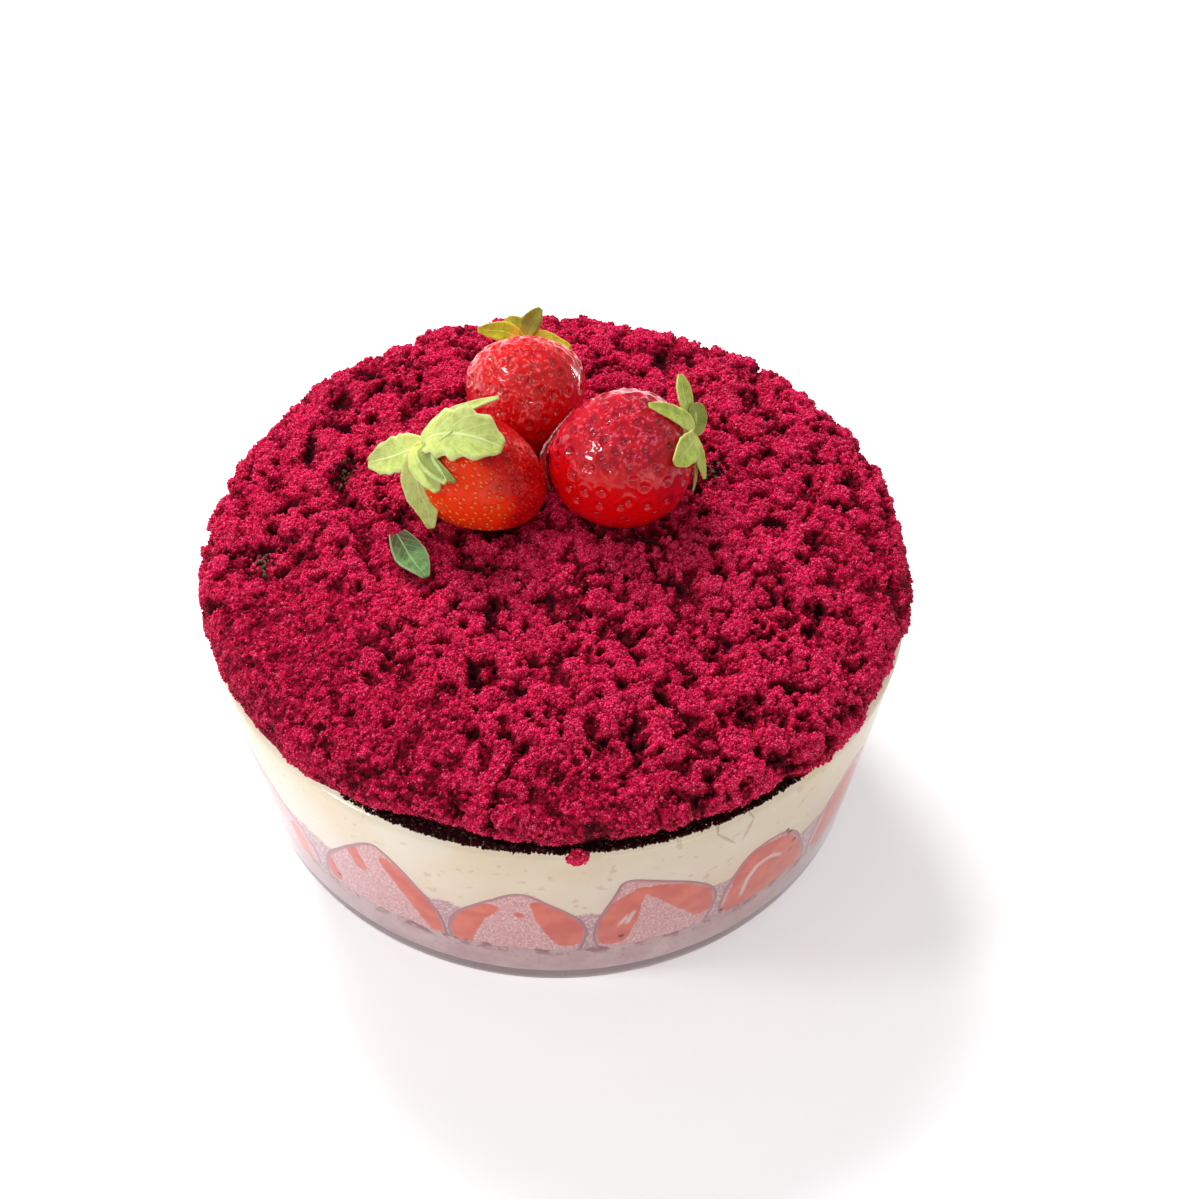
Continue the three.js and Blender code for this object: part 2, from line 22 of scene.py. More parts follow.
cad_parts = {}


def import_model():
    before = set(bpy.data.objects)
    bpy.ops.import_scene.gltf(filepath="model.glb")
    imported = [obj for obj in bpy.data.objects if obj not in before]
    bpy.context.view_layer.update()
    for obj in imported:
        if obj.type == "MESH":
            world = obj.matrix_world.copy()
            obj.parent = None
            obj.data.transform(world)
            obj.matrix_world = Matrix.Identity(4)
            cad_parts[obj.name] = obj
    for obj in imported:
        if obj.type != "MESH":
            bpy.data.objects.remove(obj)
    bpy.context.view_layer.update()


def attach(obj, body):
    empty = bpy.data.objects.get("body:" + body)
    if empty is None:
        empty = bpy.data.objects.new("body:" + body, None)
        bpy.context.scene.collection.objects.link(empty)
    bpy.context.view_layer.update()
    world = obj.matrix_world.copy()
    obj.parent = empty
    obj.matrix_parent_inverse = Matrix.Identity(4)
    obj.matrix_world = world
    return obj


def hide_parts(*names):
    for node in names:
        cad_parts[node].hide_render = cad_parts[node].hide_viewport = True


log = logging.getLogger("cake")

MM = 0.001
FULL_TURN = 2 * math.pi
GOLDEN_ANGLE = math.pi * (3 - math.sqrt(5))
RANDOM_SEED = 611
AIM_HEIGHT = 63 * MM

Array = np.ndarray
Colour = tuple[float, float, float, float]
Material = bpy.types.Material
Piece = bpy.types.Object
Shape = bmesh.types.BMesh
Socket = bpy.types.NodeSocket
Stop = tuple[float, Colour]
Rng = np.random.Generator
Triple = tuple[float, float, float]


class Slot(Enum):
    """The record's material slots."""

    GLASS = "glass"
    SPONGE = "soaked_sponge"
    CREAM = "cream"
    CUT_FRUIT = "cut_strawberry"
    CRUMB = "velvet_crumb"
    BERRY = "glazed_strawberry"
    SEPALS = "sepals"
    LEAF = "leaf"


def srgb(red: int, green: int, blue: int) -> Colour:
    """Turns a colour of 0 to 255 as the eye sees it into the renderer's linear one.

    Args:
        red: Red, 0 to 255.
        green: Green, 0 to 255.
        blue: Blue, 0 to 255.

    Returns:
        The linear colour with an alpha of 1.
    """
    linear = [((c / 255 + 0.055) / 1.055) ** 2.4 if c > 10 else c / 255 / 12.92 for c in (red, green, blue)]
    return (*linear, 1.0)


def smooth_step(low: float, high: float, value: Array | float) -> Array | float:
    """Rises from 0 at low to 1 at high without a corner.

    Args:
        low: Where the rise starts.
        high: Where it ends.
        value: One number or many.

    Returns:
        The share of the rise, in the shape of value.
    """
    share = np.clip((value - low) / (high - low), 0, 1)
    return share * share * (3 - 2 * share)


def hashed(cells: Array, salt: int) -> Array:
    """Gives each cell of a lattice a steady number.

    Args:
        cells: An N by 3 array of whole numbers.
        salt: Tells one use from another.

    Returns:
        One number from 0 to 1 for each cell.
    """
    mixed = (cells[:, 0] * 73856093) ^ (cells[:, 1] * 19349663) ^ (cells[:, 2] * 83492791)
    mixed = (mixed + salt * 40503) * 1274126177
    mixed = (mixed ^ (mixed >> 15)) * 2246822519
    return ((mixed ^ (mixed >> 13)) & 0xFFFFFF) / 0xFFFFFF


def soft_noise(spots: Array, size: float, salt: int) -> Array:
    """Reads smooth noise.

    Args:
        spots: An N by 3 array of places.
        size: The size of its features.
        salt: Tells one use from another.

    Returns:
        A number from -1 to 1 at each place.
    """
    scaled = spots / size
    base = np.floor(scaled).astype(np.int64)
    share = smooth_step(0, 1, scaled - base)
    total = np.zeros(len(spots))
    for corner in itertools.product((0, 1), repeat=3):
        weight = np.prod(np.where(corner, share, 1 - share), axis=1)
        total += weight * hashed(base + corner, salt)
    return 2 * total - 1


def lumps(spots: Array, size: float, salt: int) -> tuple[Array, Array]:
    """Divides space into uneven rounded cells.

    Args:
        spots: An N by 3 array of places.
        size: The mean size of a cell.
        salt: Tells one use from another.

    Returns:
        At each place, the distance to the cell's middle in cell sizes and the
        cell's own number from 0 to 1.
    """
    scaled = spots / size
    base = np.floor(scaled).astype(np.int64)
    nearest = np.full(len(spots), 9.0)
    own = np.zeros(len(spots))
    for step in itertools.product((-1, 0, 1), repeat=3):
        cell = base + step
        middle = cell + np.column_stack([hashed(cell, salt + axis) for axis in range(3)])
        away = np.linalg.norm(scaled - middle, axis=1)
        own = np.where(away < nearest, hashed(cell, salt + 3), own)
        nearest = np.minimum(nearest, away)
    return nearest, own


def distance_to_path(points: Array, path: Array) -> tuple[Array, Array]:
    """Measures how far points lie from a line of straight stretches.

    Args:
        points: An N by 2 array.
        path: An M by 2 array of the line's corners, or M by 3 with a radius at each.

    Returns:
        The N distances, and the line's radius at the nearest place, 0 without one.
    """
    nearest = np.full(len(points), np.inf)
    radius = np.zeros(len(points))
    for a, b in zip(path[:-1], path[1:]):
        along = b[:2] - a[:2]
        share = np.clip((points - a[:2]) @ along / max(along @ along, 1e-12), 0, 1)
        gap = np.linalg.norm(points - a[:2] - share[:, None] * along, axis=1)
        width = a[2] + share * (b[2] - a[2]) if len(a) > 2 else np.zeros(len(points))
        closer = gap - width < nearest - radius
        nearest = np.where(closer, gap, nearest)
        radius = np.where(closer, width, radius)
    return nearest, radius


# ---- pieces ----


def as_mesh(name: str, bm: Shape) -> bpy.types.Mesh:
    """Turns a bmesh into a mesh.

    Args:
        name: The mesh's name.
        bm: The shape. It is freed.

    Returns:
        The mesh.
    """
    mesh = bpy.data.meshes.new(name)
    bm.to_mesh(mesh)
    bm.free()
    return mesh


def add_object(name: str, data: bpy.types.ID) -> bpy.types.Object:
    """Puts a mesh, a light or a camera into the scene.

    Args:
        name: The object's name.
        data: What it shows.

    Returns:
        The object, at the origin.
    """
    added = bpy.data.objects.new(name, data)
    bpy.context.scene.collection.objects.link(added)
    return added


def finish_piece(
    name: str, shape: Shape | bpy.types.Mesh, material: Material, nodes: Sequence[str] = ()
) -> Piece:
    """Puts a shape into the scene as a smooth piece of the cake that rides on the frame.

    Args:
        name: The piece's name.
        shape: Its bmesh, which is freed, or its mesh, in the frame's axes.
        material: Its finish.
        nodes: The frame's nodes that it stands for.

    Returns:
        The finished object.
    """
    mesh = as_mesh(name, shape) if isinstance(shape, Shape) else shape
    mesh.shade_smooth()
    mesh.materials.append(material)
    piece = add_object(name, mesh)
    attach(piece, "root")
    if nodes:
        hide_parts(*nodes)
    log.info("%s: %d faces", name, len(mesh.polygons))
    return piece


def spun(profile: Sequence[tuple[float, float]], steps: int) -> Shape:
    """Turns a profile about the dish's axis into a closed shape.

    Args:
        profile: Pairs of radius and height whose first and last lie on the axis.
        steps: How many segments a full turn has.

    Returns:
        The closed shape with its faces pointing outwards.
    """
    bm = bmesh.new()
    corners = [bm.verts.new((radius, 0, height)) for radius, height in profile]
    edges = [bm.edges.new(pair) for pair in zip(corners, corners[1:])]
    bmesh.ops.spin(
        bm,
        geom=corners + edges,
        cent=(0, 0, 0),
        axis=(0, 0, 1),
        dvec=(0, 0, 0),
        angle=FULL_TURN,
        steps=steps,
        use_merge=True,
    )
    bmesh.ops.remove_doubles(bm, verts=bm.verts, dist=1e-6)
    bmesh.ops.recalc_face_normals(bm, faces=bm.faces)
    return bm


def add_tone(mesh: bpy.types.Mesh, name: str, values: Array) -> None:
    """Gives a mesh one number for each of its points.

    Args:
        mesh: The mesh.
        name: The attribute's name.
        values: One number for each point.
    """
    layer = mesh.attributes.new(name, "FLOAT", "POINT")
    layer.data.foreach_set("value", np.asarray(values, np.float32))


def fill_layer(verts: Iterable[bmesh.types.BMVert], layer: bmesh.types.BMLayerItem, values: Array) -> None:
    """Gives the points of a bmesh one number each.

    Args:
        verts: The points.
        layer: The layer that holds their numbers.
        values: One number for each point.
    """
    for vert, value in zip(verts, values.tolist()):
        vert[layer] = value


# ---- finishes ----


class Shading:
    """One material's nodes, with short ways to add what the finishes share."""

    def __init__(self, name: str, uniform: dict[str, float | Sequence[float]]) -> None:
        """Starts a material.

        Args:
            name: The material's name.
            uniform: The shader's sockets that are the same all over, and their values.
        """
        self.material = bpy.data.materials.new(name)
        self.material.use_nodes = True
        self.nodes = self.material.node_tree.nodes
        self.links = self.material.node_tree.links
        self.shader = self.nodes["Principled BSDF"]
        for socket, value in uniform.items():
            self.shader.inputs[socket].default_value = value

    def add(
        self, kind: str, inputs: dict[str | int, object] | None = None, **settings: object
    ) -> bpy.types.Node:
        """Adds a node.

        Args:
            kind: The node's type without its ShaderNode prefix.
            inputs: Values or sockets for its inputs, by name or index.
            settings: Its own properties.

        Returns:
            The node.
        """
        node = self.nodes.new(f"ShaderNode{kind}")
        for key, value in settings.items():
            setattr(node, key, value)
        for key, value in (inputs or {}).items():
            self.feed(node.inputs[key], value)
        return node

    def feed(self, socket: Socket, value: object) -> None:
        """Links a socket to an input, or sets a plain value on it."""
        if isinstance(value, Socket):
            self.links.new(value, socket)
        else:
            socket.default_value = value

    def object_coordinates(self, stretch: Sequence[float] = (1, 1, 1)) -> Socket:
        """Gives places on the piece in the frame's axes, stretched if asked."""
        source = self.add("TexCoord").outputs["Object"]
        return self.add("Mapping", {"Vector": source, "Scale": stretch}).outputs["Vector"]

    def attribute(self, name: str) -> Socket:
        """Gives a number that the mesh carries at each point."""
        return self.add("Attribute", attribute_name=name).outputs["Fac"]

    def noise(
        self, size: float, detail: float = 3, roughness: float = 0.55, place: Socket | None = None
    ) -> Socket:
        """Adds soft noise.

        Args:
            size: The size of its features, in metres.
            detail: How many finer layers it has.
            roughness: How strong those are.
            place: Where it is read, the piece's own places if not given.

        Returns:
            Its value, about 0.5.
        """
        vector = place or self.object_coordinates()
        values = {"Vector": vector, "Scale": 1 / size, "Detail": detail, "Roughness": roughness}
        return self.add("TexNoise", values).outputs["Fac"]

    def cells(self, size: float) -> Socket:
        """Gives the distance from the middles of cells of a size in metres."""
        values = {"Vector": self.object_coordinates(), "Scale": 1 / size}
        return self.add("TexVoronoi", values).outputs["Distance"]

    def ramp(self, source: Socket, stops: Sequence[Stop]) -> Socket:
        """Turns a number into a colour.

        Args:
            source: The number.
            stops: Places from 0 to 1 and their colours, in order.

        Returns:
            The colour.
        """
        node = self.add("ValToRGB", {"Fac": source})
        elements = node.color_ramp.elements
        while len(elements) < len(stops):
            elements.new(0.5)
        for element, (place, colour) in zip(elements, stops):
            element.position = place
            element.color = colour
        return node.outputs["Color"]

    def between(self, low: float, high: float, source: Socket) -> Socket:
        """Rises smoothly from 0 to 1 as source goes from low to high, or falls if low is above high."""
        node = self.add(
            "MapRange",
            {"Value": source, "From Min": low, "From Max": high},
            interpolation_type="SMOOTHSTEP",
        )
        return node.outputs["Result"]

    def sum(self, first: object, second: object, kind: str = "ADD") -> Socket:
        """Joins two numbers by the given sum."""
        return self.add("Math", {0: first, 1: second}, operation=kind).outputs["Value"]

    def times(self, first: object, second: object) -> Socket:
        """Multiplies two numbers."""
        return self.sum(first, second, "MULTIPLY")

    def blend(self, share: object, first: object, second: object, kind: str = "MIX") -> Socket:
        """Blends two colours.

        Args:
            share: How much of the second shows.
            first: The first colour.
            second: The second colour.
            kind: How they blend.

        Returns:
            The blended colour.
        """
        node = self.add("Mix", data_type="RGBA", blend_type=kind)
        self.feed(node.inputs["Factor"], share)
        self.feed(node.inputs[6], first)
        self.feed(node.inputs[7], second)
        return node.outputs[2]

    def bump(self, height: Socket, depth: float, strength: float = 1.0) -> Socket:
        """Turns a height into relief.

        Args:
            height: The height, 0 to 1.
            depth: How deep 1 is, in metres.
            strength: How strongly it shows.

        Returns:
            The bent normal.
        """
        values = {"Height": height, "Distance": depth, "Strength": strength}
        return self.add("Bump", values).outputs["Normal"]

    def wear(self, **sockets: Socket) -> Material:
        """Feeds the shader's sockets and gives the finished material.

        Args:
            sockets: What feeds each socket, its name with underscores for spaces.

        Returns:
            The material.
        """
        for name, source in sockets.items():
            self.links.new(source, self.shader.inputs[name.replace("_", " ")])
        return self.material

    def let_light_through(self, tint: Colour) -> Material:
        """Lets lamps shine through a clear piece instead of leaving a hard shadow."""
        output = self.nodes["Material Output"]
        path = self.add("LightPath").outputs["Is Shadow Ray"]
        open_way = self.add("BsdfTransparent", {"Color": tint}).outputs["BSDF"]
        both = self.add("MixShader", {0: path, 1: self.shader.outputs["BSDF"], 2: open_way})
        self.links.new(both.outputs["Shader"], output.inputs["Surface"])
        return self.material


@dataclass(frozen=True)
class ClearGlassFinish:
    """Clear pressed glass."""

    tint: Colour = (0.985, 0.995, 0.99, 1.0)
    refraction: float = 1.5

    def material(self) -> Material:
        """Makes the material."""
        shading = Shading(
            "clear_glass",
            {
                "Base Color": self.tint,
                "Roughness": 0.0,
                "IOR": self.refraction,
                "Transmission Weight": 1.0,
            },
        )
        return shading.let_light_through((0.96, 0.97, 0.97, 1.0))


@dataclass(frozen=True)
class CreamFinish:
    """Ivory cream with faint smears, stained by juice between the fruit."""

    name: str = "ivory_cream"
    light: Colour = srgb(250, 240, 226)
    warm: Colour = srgb(246, 231, 206)
    smudge: Colour = srgb(214, 196, 172)
    stain: Colour = srgb(200, 156, 166)
    stain_fleck: Colour = srgb(236, 212, 216)
    stain_top: float = 34.0 * MM

    def material(self) -> Material:
        """Makes the material."""
        shading = Shading(
            self.name,
            {
                "Roughness": 0.45,
                "Subsurface Weight": 0.3,
                "Subsurface Radius": (3 * MM, 2 * MM, 1.2 * MM),
                "Subsurface Scale": 1.0,
            },
        )
        smears = shading.noise(26 * MM, 2, 0.45)
        ivory = shading.ramp(smears, [(0.4, self.warm), (0.6, self.light)])
        specks = shading.between(0.66, 0.74, shading.noise(2.6 * MM, 1, 0.4))
        marked = shading.blend(shading.times(specks, 0.5), ivory, self.smudge)
        flecks = shading.between(0.48, 0.6, shading.noise(0.7 * MM, 2, 0.6))
        juice = shading.blend(flecks, self.stain, self.stain_fleck)
        height = shading.add("SeparateXYZ", {0: shading.object_coordinates()}).outputs["Z"]
        ragged = shading.times(shading.noise(4 * MM, 3), 5 * MM)
        edge = shading.sum(height, ragged)
        soaked = shading.between(self.stain_top + 3.2 * MM, self.stain_top + 1.6 * MM, edge)
        relief = shading.noise(7 * MM, 3, 0.5)
        return shading.wear(
            Base_Color=shading.blend(soaked, marked, juice),
            Normal=shading.bump(relief, 0.4 * MM, 0.3),
        )


@dataclass(frozen=True)
class SoakedSpongeFinish:
    """Red sponge soaked pale and mauve against the wet glass, with dark crumbs on top."""

    body: Colour = srgb(196, 156, 164)
    pale: Colour = srgb(216, 190, 192)
    crumb: Colour = srgb(150, 84, 96)
    crumb_from: float = 14.5 * MM

    def material(self) -> Material:
        """Makes the material."""
        shading = Shading(
            "soaked_sponge", {"Roughness": 0.5, "Subsurface Weight": 0.15, "Subsurface Scale": 2 * MM}
        )
        wash = shading.ramp(shading.noise(9 * MM, 4, 0.6), [(0.36, self.body), (0.68, self.pale)])
        height = shading.add("SeparateXYZ", {0: shading.object_coordinates()}).outputs["Z"]
        rise = shading.between(self.crumb_from, self.crumb_from + 3 * MM, height)
        patches = shading.between(0.5, 0.6, shading.noise(3.4 * MM, 4, 0.65))
        dark = shading.times(rise, patches)
        pores = shading.between(0.28, 0.1, shading.cells(1.6 * MM))
        toned = shading.blend(dark, wash, self.crumb)
        # Painted shade: the pores darken towards the crumb colour.
        deep = shading.blend(shading.times(pores, 0.3), toned, self.crumb)
        return shading.wear(Base_Color=deep, Normal=shading.bump(pores, 0.4 * MM, 0.5))


@dataclass(frozen=True)
class CutFruitFinish:
    """The wet cut face of a strawberry: coral flesh, pale speckled core, mauve skin line.

    The mesh carries three numbers at each point: ripe is 1 in the coral flesh, skin
    is the distance from the rim in millimetres, and vein is 1 on a white core line.
    """

    flesh: Colour = srgb(236, 118, 92)
    flesh_deep: Colour = srgb(222, 92, 76)
    core: Colour = srgb(228, 172, 178)
    fleck: Colour = srgb(244, 214, 216)
    shade: Colour = srgb(204, 148, 158)
    rind: Colour = srgb(190, 128, 140)

    def material(self) -> Material:
        """Makes the material."""
        shading = Shading(
            "cut_strawberry",
            {
                "Roughness": 0.3,
                "Subsurface Weight": 0.2,
                "Subsurface Radius": (2 * MM, 0.8 * MM, 0.6 * MM),
                "Subsurface Scale": 1.0,
            },
        )
        fibres = shading.noise(0.5 * MM, 2, 0.6, shading.object_coordinates((1, 1, 0.6)))
        speckled = shading.ramp(fibres, [(0.34, self.shade), (0.5, self.core), (0.66, self.fleck)])
        flesh = shading.ramp(shading.noise(5 * MM, 3), [(0.4, self.flesh_deep), (0.6, self.flesh)])
        wander = shading.times(shading.sum(shading.noise(2.2 * MM, 3), 0.5, "SUBTRACT"), 0.7)
        ripe = shading.between(0.3, 0.7, shading.sum(shading.attribute("ripe"), wander))
        face = shading.blend(ripe, speckled, flesh)
        lined = shading.blend(shading.attribute("vein"), face, self.fleck)
        rind = shading.between(1.35, 0.45, shading.sum(shading.attribute("skin"), wander))
        return shading.wear(
            Base_Color=shading.blend(rind, lined, self.rind),
            Normal=shading.bump(fibres, 0.15 * MM, 0.3),
        )


@dataclass(frozen=True)
class VelvetCrumbFinish:
    """Moist cake crumb: pink lit grains with painted glints, crimson body, painted near-black shade in
    pits.

    The mesh carries its shade tone at each point: 0 in a pit, 1 on a lit grain; low tones are painted
    shade, high ones painted light.
    """

    name: str = "velvet_crumb"
    # pit and shade are painted shade, lit is painted light, speck_and_glint is partly a painted glint.
    pit: Colour = srgb(50, 0, 8)
    shade: Colour = srgb(112, 0, 24)
    body: Colour = srgb(200, 0, 58)
    lit: Colour = srgb(242, 26, 96)
    speck_and_glint: Colour = srgb(255, 140, 176)
    fuzz: float = 0.12

    def material(self) -> Material:
        """Makes the material."""
        shading = Shading(
            self.name,
            {
                "Roughness": 0.7,
                "Specular IOR Level": 0.1,
                "Sheen Weight": self.fuzz,
                "Sheen Roughness": 0.5,
                "Sheen Tint": srgb(255, 120, 160),
            },
        )
        shade_tone = shading.attribute("shade_tone")
        mottle = shading.times(shading.sum(shading.noise(0.8 * MM, 3, 0.75), 0.5, "SUBTRACT"), 0.9)
        # The shade tone picks painted shade (pit, shade), the crimson body, or painted light (lit).
        stops = [(0.05, self.pit), (0.3, self.shade), (0.55, self.body), (0.95, self.lit)]
        base = shading.ramp(shading.sum(shade_tone, mottle), stops)
        # Painted glints: pink specks on the lit grains, partly the grains' own lighter pink.
        specks = shading.between(0.56, 0.66, shading.noise(0.35 * MM, 1, 0.5))
        glint_specks = shading.times(specks, shading.between(0.35, 0.7, shade_tone))
        grains = shading.noise(0.45 * MM, 2, 0.7)
        return shading.wear(
            Base_Color=shading.blend(shading.times(glint_specks, 0.65), base, self.speck_and_glint),
            Normal=shading.bump(grains, 0.35 * MM, 0.8),
        )


@dataclass(frozen=True)
class FruitSkinFinish:
    """The skin of a whole strawberry under its clear glaze.

    The mesh carries three numbers at each point: pit is 1 in the bottom of a seed's
    dimple, blush is 1 on the fruit's other-coloured side, and glaze_sheen is 1 where the
    glaze lies thick and rough and a sky reflection is painted on the skin.
    """

    name: str
    skin: Colour
    deep: Colour
    blush: Colour
    # The colour of the painted sky reflection where the glaze is thick.
    glaze_sheen: Colour
    glaze: float = 0.9
    glaze_roughness: float = 0.04
    glaze_relief: float = 0.5 * MM

    def material(self) -> Material:
        """Makes the material."""
        shading = Shading(
            self.name,
            {
                "Roughness": 0.4,
                "Specular IOR Level": 0.1,
                "Subsurface Weight": 0.12,
                "Subsurface Radius": (3 * MM, 0.3 * MM, 0.2 * MM),
                "Subsurface Scale": 1.0,
                "Coat Weight": self.glaze,
                "Coat Roughness": self.glaze_roughness,
                "Coat IOR": 1.4,
            },
        )
        mottle = shading.noise(3 * MM, 3)
        skin = shading.ramp(mottle, [(0.35, self.deep), (0.62, self.skin)])
        warmed = shading.blend(shading.attribute("blush"), skin, self.blush)
        film = shading.noise(2.4 * MM, 1, 0.5)
        # Painted reflection: a lacy pinkish sky reflection is blended into the skin on the sheen side.
        glaze_sheen = shading.attribute("glaze_sheen")
        lace = shading.between(0.52, 0.62, shading.noise(1.1 * MM, 3, 0.7))
        sheen_painted = shading.blend(shading.times(glaze_sheen, lace), warmed, self.glaze_sheen)
        rough = shading.sum(shading.times(glaze_sheen, 0.4), 0.35)
        # Painted shade: the skin darkens towards its deep colour in the seeds' dimples.
        dimple = shading.times(shading.attribute("pit"), 0.3)
        return shading.wear(
            Base_Color=shading.blend(dimple, sheen_painted, self.deep),
            Coat_Normal=shading.bump(shading.times(film, rough), self.glaze_relief, 0.8),
        )


@dataclass(frozen=True)
class SeedFinish:
    """Small flat seeds under the glaze.

    The mesh carries its blush at each point, as the skin does.
    """

    name: str
    light: Colour
    dark: Colour
    plain: Colour
    coat: float = 1.0

    def material(self) -> Material:
        """Makes the material."""
        shading = Shading(self.name, {"Roughness": 0.35, "Coat Weight": self.coat, "Coat Roughness": 0.05})
        mottle = shading.noise(0.5 * MM, 3)
        ripe = shading.ramp(mottle, [(0.38, self.dark), (0.6, self.light)])
        return shading.wear(
            Base_Color=shading.blend(shading.attribute("blush"), self.plain, ripe),
            Normal=shading.bump(mottle, 0.1 * MM, 0.4),
        )


@dataclass(frozen=True)
class SetGlazeFinish:
    """Set jelly glaze, almost clear and rippled."""

    tint: Colour = srgb(255, 220, 226)
    shadow: Colour = (0.95, 0.8, 0.82, 1.0)

    def material(self) -> Material:
        """Makes the material."""
        shading = Shading(
            "set_glaze",
            {"Base Color": self.tint, "Roughness": 0.06, "IOR": 1.4, "Transmission Weight": 1.0},
        )
        shading.wear(Normal=shading.bump(shading.noise(0.9 * MM, 2, 0.6), 0.4 * MM, 0.8))
        return shading.let_light_through(self.shadow)


@dataclass(frozen=True)
class LeafFinish:
    """A thin green leaf: pale midrib and side veins, lighter downy edge.

    The mesh's UV map runs across the blade in U and from stalk to tip in V, and its
    dim is 1 on a leaf that is darker than the others, painted shade on a sepal that lies in shade.
    """

    name: str
    blade: Colour = srgb(200, 214, 122)
    shade: Colour = srgb(172, 190, 90)
    vein: Colour = srgb(226, 234, 164)
    base: Colour = srgb(218, 224, 116)
    edge: Colour = srgb(220, 228, 166)
    dim: Colour = srgb(92, 106, 26)

    def material(self) -> Material:
        """Makes the material."""
        shading = Shading(
            self.name, {"Roughness": 0.6, "Subsurface Weight": 0.2, "Subsurface Scale": 1.5 * MM}
        )
        face = shading.add("SeparateXYZ", {0: shading.add("TexCoord").outputs["UV"]})
        across = shading.sum(face.outputs["X"], 0.5, "SUBTRACT")
        side = shading.sum(across, 0.0, "ABSOLUTE")
        along = face.outputs["Y"]
        sweep = shading.sum(along, shading.times(side, 0.55), "SUBTRACT")
        wave = shading.sum(shading.times(sweep, 44.0), 0.0, "SINE")
        ribs = shading.between(0.8, 1.0, wave)
        midrib = shading.between(0.05, 0.01, side)
        veins = shading.sum(midrib, shading.times(ribs, 0.35), "MAXIMUM")
        mottle = shading.ramp(shading.noise(1.8 * MM, 3), [(0.35, self.shade), (0.6, self.blade)])
        wander = shading.times(shading.noise(2.4 * MM, 3), 0.4)
        greened = shading.blend(shading.between(0.7, 0.3, shading.sum(along, wander)), mottle, self.base)
        veined = shading.blend(shading.times(veins, 0.75), greened, self.vein)
        rim = shading.between(0.43, 0.49, side)
        edged = shading.blend(shading.times(rim, 0.6), veined, self.edge)
        # Painted shade: leaves with a dim darken towards the dim colour.
        dimmed = shading.times(shading.attribute("dim"), 0.8)
        hairs = shading.noise(0.3 * MM, 1)
        ridges = shading.sum(veins, shading.times(hairs, 0.5))
        return shading.wear(
            Base_Color=shading.blend(dimmed, edged, self.dim),
            Normal=shading.bump(ridges, 0.2 * MM, 0.6),
        )


@dataclass(frozen=True)
class FloorFinish:
    """A plain pale floor with a faint glow, as on a light table."""

    colour: Colour = srgb(246, 246, 246)
    glow: float = 0.4

    def material(self) -> Material:
        """Makes the material."""
        shading = Shading(
            "pale_floor",
            {
                "Roughness": 0.9,
                "Specular IOR Level": 0.1,
                "Emission Color": self.colour,
                "Emission Strength": self.glow,
            },
        )
        worn = shading.noise(0.2, 2)
        slightly_dark = tuple(0.985 * c for c in self.colour[:3]) + (1.0,)
        return shading.wear(Base_Color=shading.ramp(worn, [(0.4, slightly_dark), (0.6, self.colour)]))


# ---- the dish and the layers in it ----


@dataclass(frozen=True)
class DishShape:
    """The dish's sizes, which what stands in it follows."""

    rim_radius: float = 80 * MM
    height: float = 62 * MM
    wall: float = 3.4 * MM
    floor: float = 6 * MM
    lean: float = math.radians(8.5)
    heel: float = 9 * MM
    inner_heel: float = 6 * MM

    def outer(self, height: float) -> float:
        """Gives the outside radius at a height."""
        return self.rim_radius - (self.height - height) * math.tan(self.lean)

    def inner(self, height: float) -> float:
        """Gives the inside radius at a height."""
        return self.outer(height) - self.wall / math.cos(self.lean)

    def heel_arc(
        self, wall_at: Callable[[float], float], level: float, radius: float, steps: int, reach: float = 0.0
    ) -> list[tuple[float, float]]:
        """Rounds the corner between a level and the leaning wall.

        Args:
            wall_at: The wall's radius at a height.
            level: The height of the level.
            radius: The corner's radius.
            steps: How many stretches it has.
            reach: How far the corner is pushed out, into the glass.

        Returns:
            Pairs of radius and height, from the level up.
        """
        height = level + radius
        middle = wall_at(height) - radius / math.cos(self.lean)
        turns = np.linspace(-math.pi / 2, -self.lean, steps + 1)
        far = radius + reach
        return [(middle + far * math.cos(t), height + far * math.sin(t)) for t in turns]

    def on_wall(self, degrees: float, height: float, reach: float) -> Vector:
        """Gives a place on the inside of the wall, pushed out by reach."""
        angle = math.radians(degrees)
        radius = self.inner(height) + reach
        return Vector((radius * math.sin(angle), -radius * math.cos(angle), height))


@dataclass
class GlassDish:
    """The clear dish with its rounded lip and heel."""

    shape: DishShape
    finish: ClearGlassFinish = ClearGlassFinish()
    segments: int = 256

    def build(self) -> Piece:
        """Builds the dish."""
        shape = self.shape
        lip = shape.wall / 2
        lip_height = shape.height - lip
        lip_radius = shape.outer(lip_height) - lip
        lip_arc = [
            (lip_radius + lip * math.cos(turn), lip_height + lip * math.sin(turn))
            for turn in np.linspace(0, math.pi, 13)
        ]
        inside = shape.heel_arc(shape.inner, shape.floor, shape.inner_heel, 10)
        outside = shape.heel_arc(shape.outer, 0, shape.heel, 14)
        profile = [(0, 0), *outside, *lip_arc, *reversed(inside), (0, shape.floor)]
        bm = spun(profile, self.segments)
        return finish_piece("dish_of_clear_glass", bm, self.finish.material(), ["glass_dish"])


@dataclass
class CreamLayer:
    """The cream that fills the dish from the sponge to the rim."""

    shape: DishShape
    finish: CreamFinish = CreamFinish()
    bottom: float = 18 * MM
    reach: float = 0.05 * MM
    segments: int = 192

    def build(self) -> Piece:
        """Builds the cream, which reaches just into the glass."""
        top = self.shape.height - 0.1 * MM
        heights = np.linspace(self.bottom, top, 16)
        wall = [(self.shape.inner(z) + self.reach, z) for z in heights]
        bm = spun([(0, self.bottom), *wall, (0, top)], self.segments)
        return finish_piece("cream_filling", bm, self.finish.material(), ["cream"])


